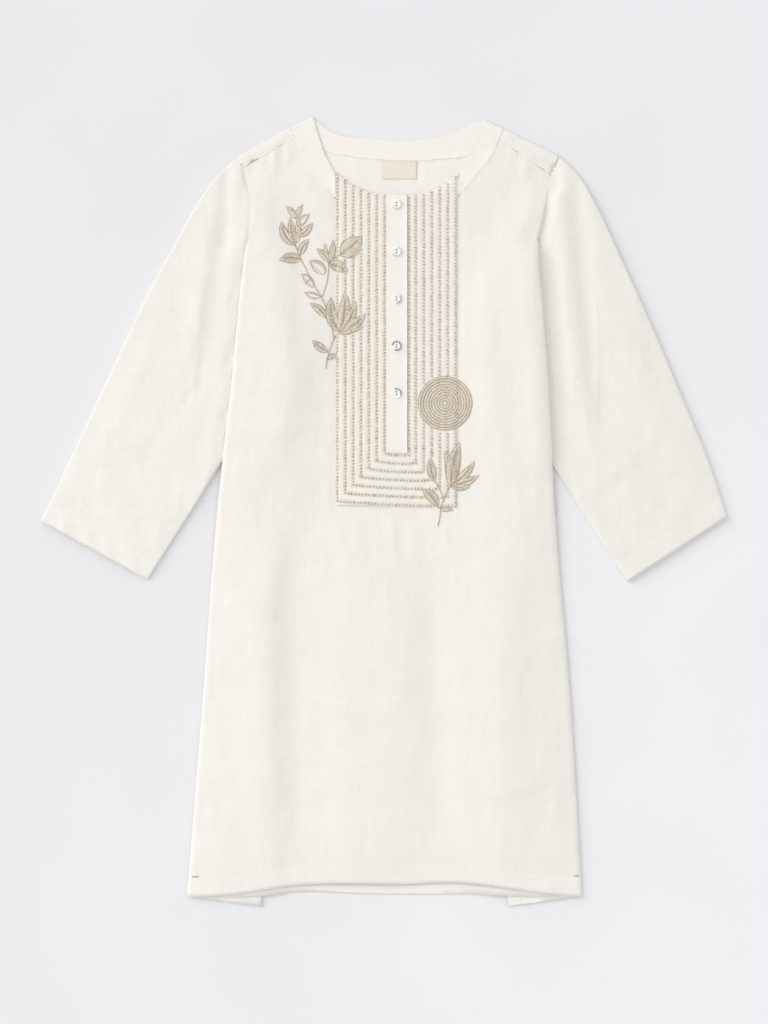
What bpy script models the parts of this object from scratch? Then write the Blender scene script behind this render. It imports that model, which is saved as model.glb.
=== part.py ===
"""Kurta tunic of white linen, laid flat on a surface with its front up.

The frame: +X is the wearer's left, +Y runs from the hem to the neck, +Z is up from the surface,
and the origin is on the surface under the middle of the garment. Tables and sizes are in
millimetres, and the solids are made in metres.

Each side of the body is folded under along the line that shows, so the body's edge is a soft
roll and its side strips lie beneath it, over the top of the sleeves where these run under the
body. From the surface up a side holds: sleeve (two layers, near the armhole only), front strip,
back strip, back, front. The middle holds the back, the front and what is laid on the front.

Every cloth piece is a grid of points at the middle of its wall. cloth_solid() gives the grid
its wall and closes it.
"""

import math

import bpy
import numpy as np

MM = 0.001

# ---------------------------------------------------------------- driving dimensions
CLOTH = 1.0  # wall of every cloth piece
GAP = 0.3  # air between two layers
LAYER = CLOTH + GAP
SEAM = 0.4  # air between two pieces that are sewn edge to edge
FLOOR = CLOTH / 2  # middle height of a layer that lies on the surface

HEM_Y = -444.0  # hem at the two folded sides
BIB_FOOT_Y = 6.0
SLIT_FOOT_Y = 68.0  # lower end of the placket
YOKE_Y = 225.0  # rows are level up to here, and rise to neck and shoulder above
CROSSING_Y = 314.0  # here the armhole seam runs in under the body's folded edge
TIP_Y = 410.0  # shoulder tip
ARMHOLE_LEVELS = (YOKE_Y, 256.0, 286.0, CROSSING_Y, 338.0, 362.0, 386.0, TIP_Y)

BIB_LEFT, BIB_RIGHT, BIB_RIGHT_FOOT = -56.0, 86.0, 83.0
SLIT_LEFT, SLIT_RIGHT = 2.6, 26.4
NECK_CENTRE = (16.0, 440.0)

# Body edge from hem to shoulder tip: the fold up to the crossing, the armhole seam above it.
EDGES = (
    # y, edge on -X, edge on +X
    (-444, -227.0, 228.0),
    (-217, -209.0, 215.0),
    (14, -191.0, 196.0),
    (152, -176.0, 189.0),
    (256, -166.0, 181.0),
    (314, -158.5, 177.5),
    (341, -154.5, 183.0),
    (361, -154.5, 186.5),
    (385, -158.5, 190.5),
    (410, -168.0, 201.5),
)

# How far in from the body's edge the hidden layers reach, and how much of their lift is there.
HIDDEN = (
    # y, folded strip's reach, its share, sleeve's reach, its share
    (-444, 86, 1, 0, 0),
    (-70, 69, 1, 0, 0),
    (15, 66, 1, 25, 1),
    (56, 64, 1, 40, 1),
    (204, 60, 1, 78, 1),
    (314, 14, 1, 30, 1),
    (345, 0, 1, 10, 1),
    (392, 0, 0, 0, 0),
)
HIDDEN_MARGIN = 8.0  # the lift is whole this far past a hidden layer's end
HIDDEN_FALL = 32.0  # and gone this much further in
SIDE_SLACK = 0.35  # extra air over the folded strips
ROLL_WIDTH = 16.0  # the roll's rise from the panel
FRONT_ROLL, BACK_ROLL = 2.4, 0.6  # its height in each layer
STRIP_DROP = 0.13  # a folded strip's hem falls by this much of its width
HEM_FADE = 160.0  # the hem's curve is gone from the rows this far above it

# The two hems between the folded sides.
FRONT_HEM = (
    (-227, -444), (-177, -441.5), (-106, -431), (-63, -428.5), (36, -429), (71, -427),
    (107, -429), (178, -439), (228, -444),
)
BACK_HEM = (
    (-227, -444), (-141, -443), (-106, -438), (-35, -440), (54, -441), (107, -441),
    (143, -443), (228, -444),
)

# Shoulder: the back rolls forward over the fold line and its felled edge laps the front.
SHOULDERS = (
    # x, fold line's y, how far down the front the back's edge comes
    (-168.0, 410.0, 14.0),
    (-105.5, 444.0, 12.0),
    (137.5, 441.5, 13.0),
    (201.5, 410.0, 22.0),
)
FELL_WIDTH = 7.0  # of that edge, what lies on the front
FLAP_RISE = 2 * LAYER  # the flap's height over the back

FRONT_NECK_SEAM = (
    (-105.5, 440), (-98.8, 416), (-88.8, 399.5), (-75.8, 384), (-63, 368.5), (-56, 361),
    (16, 336), (86, 364), (91.7, 371.5), (117.8, 402.7), (132.1, 423.5), (137.5, 439),
)
BACK_NECK_SEAM = (
    (-105.5, 443), (-93, 432), (-67.5, 416.5), (-44.4, 411.4), (-5, 407), (35, 405.6),
    (68, 407.5), (98.6, 411.5), (118, 423.5), (137.5, 440.5),
)
# Inner edge of the neckband. The fronts are given by y, because they are steep.
BAND_LEFT_INNER = ((392, -57.0), (410.7, -67.5), (433.8, -75.0), (455.5, -82.0))
BAND_RIGHT_INNER = ((389, 87.0), (405, 97.5), (422.3, 106.7), (452.8, 114.8))
BAND_BACK_INNER = (
    (-82, 455.5), (-64, 439.6), (-44.4, 433.8), (-17.9, 430.4), (21.3, 428.1),
    (61.7, 432.7), (88.3, 441.3), (106.7, 450.6), (114.8, 452.8),
)
BAND_RISE = 1.8  # height of the band's front over its back
BAND_ROWS = 3

# Neckline of the bib: flat at the placket, rising to the neckband on both sides.
NECKLINE_Y, NECKLINE_RISE, NECKLINE_HALF, NECKLINE_POWER = 365.5, 26.0, 71.0, 2.6
BIB_TILT = -0.035  # the bib's rows fall a little towards the wearer's left

# Largest folds of the front, each a long soft ridge.
FRONT_FOLDS = (
    # x and y of the upper end, x and y of the lower end, half width, height
    (-28, 40, -22, -470, 38, 3.4),
    (135, -20, 118, -470, 30, 2.2),
)
FOLD_FADE = 90.0  # a fold rises over this length at its upper end

# Columns of the body's grid, from the -X edge to the +X edge.
SHOULDER_COLUMNS, NECK_COLUMNS, BIB_COLUMNS, SLIT_COLUMNS = 5, 4, 4, 2
ROLL_COLUMNS, STRIP_COLUMNS, FLAP_ROWS = 4, 3, 4

# Sleeves: the outer fold from cuff to shoulder tip, the underarm fold from cuff to the hidden
# underarm, and the hidden part of the armhole seam from the crossing down, each as (x, y). Their
# folds are rows like the front's.
RIGHT_SLEEVE = {
    "outer": (
        (-395.2, -10.4), (-270.6, 256.1), (-246.3, 298.8), (-222.7, 343.8), (-206, 370.4),
        (-180, 407), (-168.4, 410),
    ),
    "underarm": ((-272.9, -77.3), (-187.5, 56.5), (-105.6, 204)),
    "armhole": ((-150, 288), (-136, 256), (-120, 226), (-105.6, 204)),
    "folds": ((-173, 362, -174, 256, 9, 2.0), (-232, 270, -318, 60, 26, 1.0)),
}
LEFT_SLEEVE = {
    "outer": (
        (395.2, -5.8), (372.1, 64.6), (344.4, 129.2), (317.3, 195), (248.6, 346.1),
        (225.6, 388), (214, 403), (201.9, 410),
    ),
    "underarm": ((281, -79.6), (237.1, -13.3), (207.1, 36.9), (193.3, 54.8), (110, 204)),
    "armhole": ((171, 288), (156, 256), (134, 226), (110, 204)),
    "folds": ((201, 362, 199, 256, 10, 2.2), (262, 270, 330, 60, 26, 1.0)),
}
SLEEVE_STATIONS = 15
SLEEVE_EDGE_RISE = 2.0  # height of the sleeve's folds over a pressed tube
SLEEVE_CROWN = 0.9  # and of its middle over its folds
SLEEVE_RISE_LENGTH = 42.0  # it swells over this length from the body's edge

PLACKET_LIFT = 0.5  # the top placket stands this much over the bib
LABEL_LEFT, LABEL_RIGHT, LABEL_FOOT_Y, LABEL_TOP_Y, LABEL_WALL = -1.7, 37.5, 384.0, 404.6, 0.6

BUTTON_X, FIRST_BUTTON_Y, BUTTON_PITCH, BUTTONS = 14.5, 354.6, 54.4, 5
BUTTON_SIDES = 20
BUTTON_PROFILE = ((4.3, 0.0), (5.75, 0.9), (5.6, 1.8), (4.9, 2.1), (3.9, 1.5))  # radius, height
BUTTON_HOLE_RADIUS, BUTTON_HOLE_OFFSET = 0.8, 1.45


# ---------------------------------------------------------------- helpers
def curve(table, at, column=1):
    """Smooth curve through one column of a table whose first column rises."""
    keys = np.array([row[0] for row in table], float)
    values = np.array([row[column] for row in table], float)
    slopes = np.gradient(values, keys)
    i = int(np.clip(np.searchsorted(keys, at) - 1, 0, len(keys) - 2))
    step = keys[i + 1] - keys[i]
    f = min(max((at - keys[i]) / step, 0.0), 1.0)
    start = (1 + 2 * f) * (1 - f) ** 2 * values[i] + f * (1 - f) ** 2 * step * slopes[i]
    end = f * f * (3 - 2 * f) * values[i + 1] - f * f * (1 - f) * step * slopes[i + 1]
    return start + end


def straight(table, at, column=1):
    """Straight lines through one column of a table whose first column rises."""
    return float(np.interp(at, [row[0] for row in table], [row[column] for row in table]))


def smooth(t):
    t = min(max(t, 0.0), 1.0)
    return t * t * (3 - 2 * t)


def mix(a, b, t):
    return a + (b - a) * t


def along(points, count):
    """count points at even spacing on the polyline through points."""
    points = np.array(points, float)
    runs = np.concatenate([[0], np.cumsum(np.linalg.norm(np.diff(points, axis=0), axis=1))])
    at = np.linspace(0, runs[-1], count)
    return np.column_stack([np.interp(at, runs, points[:, 0]), np.interp(at, runs, points[:, 1])])


def towards(point, target, distance):
    """point moved by distance towards target, in plan."""
    dx, dy = target[0] - point[0], target[1] - point[1]
    length = math.hypot(dx, dy)
    return point[0] + distance * dx / length, point[1] + distance * dy / length


def material(name, colour, roughness=0.85, metallic=0.0):
    made = bpy.data.materials.new(name)
    made.use_nodes = True
    shader = made.node_tree.nodes["Principled BSDF"]
    shader.inputs["Base Color"].default_value = (*colour, 1.0)
    shader.inputs["Roughness"].default_value = roughness
    shader.inputs["Metallic"].default_value = metallic
    return made


def mesh_object(name, points, faces, surface):
    """An object from points in millimetres."""
    mesh = bpy.data.meshes.new(name)
    mesh.from_pydata([[c * MM for c in p] for p in points], [], faces)
    mesh.materials.append(surface)
    mesh.shade_smooth()
    mesh.set_sharp_from_angle(angle=math.radians(40))
    made = bpy.data.objects.new(name, mesh)
    bpy.context.scene.collection.objects.link(made)
    return made


def cloth_solid(name, grid, cells, surface, wall=CLOTH):
    """Closed wall around a grid of middle points.

    grid maps a key to a point, and each cell lists the keys of its four corners, anticlockwise
    seen from the cloth's outer side.
    """
    keys = sorted({key for cell in cells for key in cell})
    number = {key: i for i, key in enumerate(keys)}
    middle = np.array([grid[key] for key in keys], float)
    triangles = []
    for cell in cells:
        a, b, c, d = (number[key] for key in cell)
        triangles += [(a, b, c), (a, c, d)]
    normals = np.zeros_like(middle)
    for a, b, c in triangles:
        normal = np.cross(middle[b] - middle[a], middle[c] - middle[a])
        for i in (a, b, c):
            normals[i] += normal
    normals /= np.linalg.norm(normals, axis=1)[:, None]
    count = len(keys)
    points = np.concatenate([middle + normals * wall / 2, middle - normals * wall / 2])
    faces = list(triangles)
    faces += [(c + count, b + count, a + count) for a, b, c in triangles]
    sides = {(t[i], t[(i + 1) % 3]) for t in triangles for i in range(3)}
    faces += [(b, a, a + count, b + count) for a, b in sorted(sides) if (b, a) not in sides]
    return mesh_object(name, points.tolist(), faces, surface)


def whole_cells(grid, rows, columns, closed=False):
    """The cells of a grid keyed (row, column) whose four corners are all there."""
    cells = []
    for r in range(rows):
        for c in range(columns if closed else columns - 1):
            after = (c + 1) % columns
            cell = [(r, c), (r, after), (r + 1, after), (r + 1, c)]
            if all(key in grid for key in cell):
                cells.append(cell)
    return cells


# ---------------------------------------------------------------- body, shared by front and back
def spread(low, high, count):
    return [mix(low, high, i / count) for i in range(count)]


LEVELS = (
    spread(HEM_Y, BIB_FOOT_Y, 11)
    + spread(BIB_FOOT_Y, SLIT_FOOT_Y, 2)
    + spread(SLIT_FOOT_Y, YOKE_Y, 4)
    + list(ARMHOLE_LEVELS)
)
EDGE_LINES = {
    side: [(level, curve(EDGES, level, column)) for level in LEVELS]
    for side, column in ((-1, 1), (1, 2))
}
SIDE_COLUMNS = SHOULDER_COLUMNS + NECK_COLUMNS
LEFT_NECK, LEFT_BIB = SHOULDER_COLUMNS, SIDE_COLUMNS
LEFT_SLIT = LEFT_BIB + BIB_COLUMNS
RIGHT_SLIT = LEFT_SLIT + SLIT_COLUMNS
RIGHT_BIB = RIGHT_SLIT + BIB_COLUMNS
RIGHT_NECK = RIGHT_BIB + NECK_COLUMNS
LAST_COLUMN = RIGHT_NECK + SHOULDER_COLUMNS


def edge_x(side, y):
    return straight(EDGE_LINES[side], y)


def column_places(left, right):
    """x of every main column of a row that runs from left to right."""
    return (
        spread(left, BIB_LEFT, SIDE_COLUMNS)
        + spread(BIB_LEFT, SLIT_LEFT, BIB_COLUMNS)
        + spread(SLIT_LEFT, SLIT_RIGHT, SLIT_COLUMNS)
        + spread(SLIT_RIGHT, BIB_RIGHT, BIB_COLUMNS)
        + spread(BIB_RIGHT, right, SIDE_COLUMNS)
        + [right]
    )


def hidden_lift(x, y):
    """How much the body is lifted by its own folded strips, and by the sleeves under it."""
    lifts = []
    for reach_column, share_column in ((1, 2), (3, 4)):
        reach = straight(HIDDEN, y, reach_column)
        share = smooth(straight(HIDDEN, y, share_column))
        depth = min(x - edge_x(-1, y), edge_x(1, y) - x)
        past = (depth - reach - HIDDEN_MARGIN) / HIDDEN_FALL
        lifts.append(2 * LAYER * share * (1 - smooth(past)))
    return lifts


def roll(x, y):
    """1 at the body's folded edge, falling to 0 inside it."""
    depth = min(x - edge_x(-1, y), edge_x(1, y) - x)
    return math.exp(-((depth / ROLL_WIDTH) ** 2)) * smooth(straight(HIDDEN, y, 2))


def fold_height(folds, x, y):
    """Height of the long soft ridges of a fold table at a place."""
    height = 0.0
    for x0, y0, x1, y1, half_width, top in folds:
        t = (y0 - y) / (y0 - y1)
        if 0 < t < 1:
            ends = smooth((y0 - y) / FOLD_FADE) * smooth((y - y1) / FOLD_FADE)
            height += top * ends * math.exp(-(((x - mix(x0, x1, t)) / half_width) ** 2))
    return height


def strip_height(layer, x, y):
    """Middle height of a folded strip: layer 0 is the front's, 1 the back's."""
    return FLOOR + layer * LAYER + hidden_lift(x, y)[1]


def back_height(x, y):
    strips, sleeve = hidden_lift(x, y)
    slack = SIDE_SLACK * strips / (2 * LAYER)
    return FLOOR + strips + sleeve + slack + BACK_ROLL * roll(x, y)


def front_height(x, y):
    over_back = LAYER + (FRONT_ROLL - BACK_ROLL) * roll(x, y)
    return back_height(x, y) + over_back + fold_height(FRONT_FOLDS, x, y) * (1 - roll(x, y))


def shoulder_fold(x):
    return straight(SHOULDERS, x)


def top_y(piece, column, x):
    """y of a main column's upper end: the shoulder fold, or the piece's neck seam."""
    if column <= LEFT_NECK or column >= RIGHT_NECK:
        return shoulder_fold(x)
    return curve(FRONT_NECK_SEAM if piece == "front" else BACK_NECK_SEAM, x)


def main_rows(piece, shoulder_setback):
    """The plan of a body panel between its two edges: rows of (x, y) from hem to top.

    Both panels share their rows up to the last one, so that their walls stay a layer apart.
    shoulder_setback(x) is how far the panel's own last row stops short of the shoulder fold.
    """
    places = column_places(edge_x(-1, TIP_Y), edge_x(1, TIP_Y))
    shared = [top_y("front", column, x) for column, x in enumerate(places)]
    rows = []
    for level in LEVELS[:-1]:
        rise = (level - YOKE_Y) / (TIP_Y - YOKE_Y)
        inset = roll_radius(level) if level <= CROSSING_Y else 0.0
        places = column_places(edge_x(-1, level) + inset, edge_x(1, level) - inset)
        if rise <= 0:
            hem = FRONT_HEM if piece == "front" else BACK_HEM
            fade = 1 - smooth((level - HEM_Y) / HEM_FADE)
            rows.append([(x, level + fade * (curve(hem, x) - HEM_Y)) for x in places])
        else:
            rows.append([(x, mix(YOKE_Y, top, rise)) for x, top in zip(places, shared)])
    tip_left = TIP_Y - shoulder_setback(SHOULDERS[0][0])
    tip_right = TIP_Y - shoulder_setback(SHOULDERS[-1][0])
    last = []
    for column, x in enumerate(column_places(edge_x(-1, tip_left), edge_x(1, tip_right))):
        on_shoulder = column <= LEFT_NECK or column >= RIGHT_NECK
        last.append((x, top_y(piece, column, x) - (shoulder_setback(x) if on_shoulder else 0.0)))
    last[0], last[-1] = (last[0][0], tip_left), (last[-1][0], tip_right)
    return rows + [last]


def roll_radius(y):
    """Middle radius of the front's U-turn at the body's edge."""
    x = edge_x(-1, y)
    return (front_height(x, y) - strip_height(0, x, y)) / 2


def add_side(grid, row, side, first, step, place, height, layer):
    """The U-turn and the folded strip of one row, at the end of its main columns.

    first is the column next to the main ones, and step is the way on from it.
    """
    x, y = place
    low = strip_height(layer, x, y)
    radius, centre = (height(x, y) - low) / 2, (height(x, y) + low) / 2
    for i in range(1, ROLL_COLUMNS + 1):
        turn = math.pi * i / ROLL_COLUMNS
        out = side * radius * math.sin(turn)
        grid[row, first + step * (i - 1)] = (x + out, y, centre + radius * math.cos(turn))
    length = straight(HIDDEN, y, 1) - roll_radius(y)
    for i in range(1, STRIP_COLUMNS + 1):
        inward = length * i / STRIP_COLUMNS
        px, py = x - side * inward, y - STRIP_DROP * inward
        column = first + step * (ROLL_COLUMNS + i - 1)
        grid[row, column] = (px, py, strip_height(layer, px, py))


FIRST_MAIN = ROLL_COLUMNS + STRIP_COLUMNS  # grid column of the first main column
GRID_COLUMNS = LAST_COLUMN + 1 + 2 * FIRST_MAIN


def body_grid(rows, height, layer):
    """The points of a body panel, from the inner end of one folded strip to the other's."""
    grid = {}
    for r, row in enumerate(rows):
        for c, (x, y) in enumerate(row):
            grid[r, FIRST_MAIN + c] = (x, y, height(x, y))
        if LEVELS[r] <= CROSSING_Y:
            last = FIRST_MAIN + LAST_COLUMN
            add_side(grid, r, -1, FIRST_MAIN - 1, -1, row[0], height, layer)
            add_side(grid, r, 1, last + 1, 1, row[-1], height, layer)
    return grid


def front_rows():
    """Plan of the front, whose shoulder edge ends under the back's felled edge."""
    return main_rows("front", lambda x: straight(SHOULDERS, x, 2) - FELL_WIDTH)


def front_panel(rows):
    grid = body_grid(rows, front_height, 0)
    slit_row = LEVELS.index(SLIT_FOOT_Y)
    slit = range(FIRST_MAIN + LEFT_SLIT, FIRST_MAIN + RIGHT_SLIT)
    cells = [
        cell
        for cell in whole_cells(grid, len(rows) - 1, GRID_COLUMNS)
        if not (cell[0][0] >= slit_row and cell[0][1] in slit)
    ]
    return cloth_solid("front_panel", grid, cells, material("linen_front", (0.87, 0.85, 0.83)))


def back_rows():
    """Plan of the back, whose shoulder ends where its roll over the fold begins."""
    return main_rows("back", lambda x: FLAP_RISE / 2)


def back_panel(rows):
    grid = body_grid(rows, back_height, 1)
    radius = FLAP_RISE / 2
    top = len(rows) - 1
    for c, (x, y) in enumerate(rows[-1]):
        if LEFT_NECK < c < RIGHT_NECK:
            continue
        key = FIRST_MAIN + c
        for i in range(1, FLAP_ROWS + 1):
            turn = math.pi * i / FLAP_ROWS
            z = FLOOR + radius * (1 - math.cos(turn))
            grid[top + i, key] = (x, y + radius * math.sin(turn), z)
    # The flap's two last rows come down the front, with their ends on the armhole seams.
    for i, share in ((1, 0.5), (2, 1.0)):
        drops = [share * straight(SHOULDERS, x, 2) for x, _ in rows[-1]]
        low = [y + radius - drop for (_, y), drop in zip(rows[-1], drops)]
        places = column_places(edge_x(-1, low[0]), edge_x(1, low[-1]))
        for c, (x, y) in enumerate(zip(places, low)):
            if c <= LEFT_NECK or c >= RIGHT_NECK:
                grid[top + FLAP_ROWS + i, FIRST_MAIN + c] = (x, y, FLOOR + FLAP_RISE)
    cells = whole_cells(grid, top + FLAP_ROWS + 2, GRID_COLUMNS)
    return cloth_solid("back_panel", grid, cells, material("linen_back", (0.84, 0.82, 0.80)))


# ---------------------------------------------------------------- neckband, bib, placket, label
def neckband(front, back):
    """One strip: up the wearer's right front, over the fold, round the back neck, and down."""
    front_top, back_top = front[-1], back[-1]
    radius = BAND_RISE / 2
    stations = []  # (outer x, outer y, inner x, inner y, z)

    def add(outer, inner, z):
        stations.append((*towards(outer, NECK_CENTRE, SEAM), *inner, z))

    def add_front(columns, inner_table):
        for i, c in enumerate(columns):
            y = mix(inner_table[0][0], inner_table[-1][0], i / len(columns))
            outer = front_top[c]
            if c in (LEFT_BIB, RIGHT_BIB):
                outer = (outer[0] + (-SEAM if c == LEFT_BIB else SEAM), outer[1])
            add(outer, (curve(inner_table, y), y), FLOOR + BAND_RISE)

    def add_fold(outer, inner, turns):
        line = np.array(inner) - np.array(outer)
        away = np.array([-line[1], line[0]]) / np.linalg.norm(line)
        away *= 1 if away[1] > 0 else -1
        for turn in turns:
            shift = away * radius * (math.sin(turn) - 1)
            z = FLOOR + radius * (1 + math.cos(turn))
            add(tuple(np.array(outer) + shift), tuple(np.array(inner) + shift), z)

    turns = [math.pi * i / 4 for i in range(5)]
    left_fold = ((back_top[LEFT_NECK][0], shoulder_fold(back_top[LEFT_NECK][0])), (-82.0, 455.5))
    right_fold = ((back_top[RIGHT_NECK][0], shoulder_fold(back_top[RIGHT_NECK][0])), (114.8, 452.8))
    add_front(range(LEFT_BIB, LEFT_NECK, -1), BAND_LEFT_INNER)
    add_fold(*left_fold, turns)
    for c in range(LEFT_NECK + 1, RIGHT_NECK):
        share = (back_top[c][0] - left_fold[0][0]) / (right_fold[0][0] - left_fold[0][0])
        x = mix(left_fold[1][0], right_fold[1][0], share)
        add(back_top[c], (x, curve(BAND_BACK_INNER, x)), FLOOR)
    add_fold(*right_fold, turns[::-1])
    right_front = len(stations)
    add_front(range(RIGHT_BIB, RIGHT_NECK), BAND_RIGHT_INNER)
    stations[right_front:] = stations[right_front:][::-1]

    grid = {}
    for r, (ox, oy, ix, iy, z) in enumerate(stations):
        for c in range(BAND_ROWS + 1):
            t = c / BAND_ROWS
            grid[r, c] = (mix(ox, ix, t), mix(oy, iy, t), z)
    cells = [cell[::-1] for cell in whole_cells(grid, len(stations) - 1, BAND_ROWS + 1)]
    return cloth_solid("neckband", grid, cells, material("linen_neckband", (0.88, 0.86, 0.84)))


def neckline_y(x):
    across = abs(x - NECK_CENTRE[0]) / NECKLINE_HALF
    return NECKLINE_Y + NECKLINE_RISE * across**NECKLINE_POWER


def laid_on(x, y, layers, lift=0.0):
    """Middle height of a piece that lies that many layers over the front's own points."""
    return front_height(x, y) + layers * LAYER + lift


BIB_LEVELS = [level for level in LEVELS if BIB_FOOT_Y <= level <= YOKE_Y]
BIB_TOP_ROWS = 4


def bib():
    """The embroidered panel on the front, with the placket's slit."""
    places = column_places(edge_x(-1, YOKE_Y), edge_x(1, YOKE_Y))[LEFT_BIB : RIGHT_BIB + 1]
    grid = {}
    for r in range(len(BIB_LEVELS) + BIB_TOP_ROWS):
        for c, x in enumerate(places):
            if r < len(BIB_LEVELS):
                level = BIB_LEVELS[r]
                foot = 1 - smooth((level - BIB_FOOT_Y) / (SLIT_FOOT_Y - BIB_FOOT_Y))
                y = level + foot * BIB_TILT * (x - BUTTON_X)
            else:
                share = (r - len(BIB_LEVELS) + 1) / BIB_TOP_ROWS
                level, y = YOKE_Y, mix(YOKE_Y, neckline_y(x), share)
            if x > SLIT_RIGHT:
                taper = mix(BIB_RIGHT_FOOT, BIB_RIGHT, (level - BIB_FOOT_Y) / (YOKE_Y - BIB_FOOT_Y))
                x = mix(SLIT_RIGHT, taper, (x - SLIT_RIGHT) / (BIB_RIGHT - SLIT_RIGHT))
            grid[r, c] = (x, y, laid_on(x, y, 1))
    slit_row = BIB_LEVELS.index(SLIT_FOOT_Y)
    slit = range(BIB_COLUMNS, BIB_COLUMNS + SLIT_COLUMNS)
    cells = [
        cell
        for cell in whole_cells(grid, len(BIB_LEVELS) + BIB_TOP_ROWS - 1, len(places))
        if not (cell[0][0] >= slit_row and cell[0][1] in slit)
    ]
    return cloth_solid("bib", grid, cells, material("linen_bib", (0.88, 0.86, 0.83)))


def strip(name, left, right, foot, top, layers, lift, surface, rows=8, wall=CLOTH):
    """A straight strip of cloth that lies on the front."""
    grid = {}
    for r in range(rows + 1):
        for c, x in enumerate((left, (left + right) / 2, right)):
            y = mix(foot, top, r / rows)
            grid[r, c] = (x, y, laid_on(x, y, layers, lift))
    return cloth_solid(name, grid, whole_cells(grid, rows, 3), surface, wall)


def plackets():
    """The under strip fills the slit, and the top strip lies on it, proud of the bib."""
    left, right = SLIT_LEFT + SEAM, SLIT_RIGHT - SEAM
    foot, top = SLIT_FOOT_Y + SEAM, NECKLINE_Y
    under = material("linen_under_placket", (0.84, 0.82, 0.80))
    over = material("linen_placket", (0.88, 0.86, 0.84))
    strip("under_placket", left, right, foot, top, 0, 0.0, under)
    strip("placket", left, right, foot, top, 1, PLACKET_LIFT, over)


def neck_label():
    """Plain woven label on the inside of the back."""
    z = FLOOR + CLOTH / 2 + GAP + LABEL_WALL / 2
    xs, ys = (LABEL_LEFT, LABEL_RIGHT), (LABEL_FOOT_Y, LABEL_TOP_Y)
    grid = {(r, c): (x, y, z) for r, y in enumerate(ys) for c, x in enumerate(xs)}
    surface = material("label_tape", (0.80, 0.76, 0.68))
    return cloth_solid("neck_label", grid, whole_cells(grid, 1, 2), surface, LABEL_WALL)


# ---------------------------------------------------------------- sleeves
def sleeve_height(side, folds, x, y, v):
    """Middle height of a sleeve's top layer: pressed flat under the body, swelling outside it."""
    outside = side * (x - edge_x(side, y))
    at_seam = smooth((y - CROSSING_Y) / 50)
    swell = mix(smooth((outside - 3) / SLEEVE_RISE_LENGTH), 1.0, at_seam)
    crown = SLEEVE_CROWN * 4 * v * (1 - v)
    return FLOOR + LAYER + swell * (SLEEVE_EDGE_RISE + crown + fold_height(folds, x, y))


def sleeve(name, side, shape):
    """A flattened tube. Each station is a ring: top layer, underarm fold, bottom layer, outer fold."""
    levels = [level for level in reversed(ARMHOLE_LEVELS) if level >= CROSSING_Y]
    armhole = [(edge_x(side, level), level) for level in levels] + list(shape["armhole"])
    armhole = np.array([(x + side * SEAM, y) for x, y in armhole])
    steps = len(armhole) - 1
    outer = along(shape["outer"][:-1] + (tuple(armhole[0]),), SLEEVE_STATIONS + 1)
    underarm = along(shape["underarm"][:-1] + (tuple(armhole[-1]),), SLEEVE_STATIONS + 1)
    cuff = along((outer[0], underarm[0]), steps + 1)
    grid = {}
    for s in range(SLEEVE_STATIONS + 1):
        t = s / SLEEVE_STATIONS
        plan = []
        for i in range(steps + 1):
            v = i / steps
            ruled = mix(cuff[i], armhole[i], t) + mix(outer[s], underarm[s], v)
            corners = mix(mix(cuff[0], cuff[-1], v), mix(armhole[0], armhole[-1], v), t)
            plan.append(ruled - corners)
        add_ring(grid, s, plan, lambda x, y, v: sleeve_height(side, shape["folds"], x, y, v))
    columns = max(c for _, c in grid) + 1
    cells = whole_cells(grid, SLEEVE_STATIONS, columns, closed=True)
    if side > 0:
        cells = [cell[::-1] for cell in cells]
    return cloth_solid(name, grid, cells, material("linen_" + name, (0.87, 0.85, 0.83)))


def add_ring(grid, station, plan, height):
    """One station of a flattened tube whose plan runs from its outer to its underarm fold."""
    steps = len(plan) - 1
    ends = []
    for end, inner in ((0, 1), (steps, steps - 1)):
        place, inward = plan[end], plan[inner] - plan[end]
        inward = inward / np.linalg.norm(inward)
        radius = (height(*place, end / steps) - FLOOR) / 2
        ends.append((place + inward * radius, -inward, radius))
    middle = [(plan[i], i / steps) for i in range(1, steps)]
    points = [(*ends[0][0], FLOOR + 2 * ends[0][2])]
    points += [(*place, height(*place, v)) for place, v in middle]
    points += turn_points(*ends[1], falling=True)
    points += [(*place, FLOOR) for place, _ in reversed(middle)]
    points += turn_points(*ends[0], falling=False)[:-1]
    for c, point in enumerate(points):
        grid[station, c] = point


def turn_points(centre, away, radius, falling):
    """A half circle from top to bottom, or from bottom to top, at a tube's fold."""
    points = []
    for i in range(4):
        turn = math.pi * i / 3 if falling else math.pi * (1 - i / 3)
        place = centre + away * radius * math.sin(turn)
        points.append((*place, FLOOR + radius * (1 + math.cos(turn))))
    return points


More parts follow.
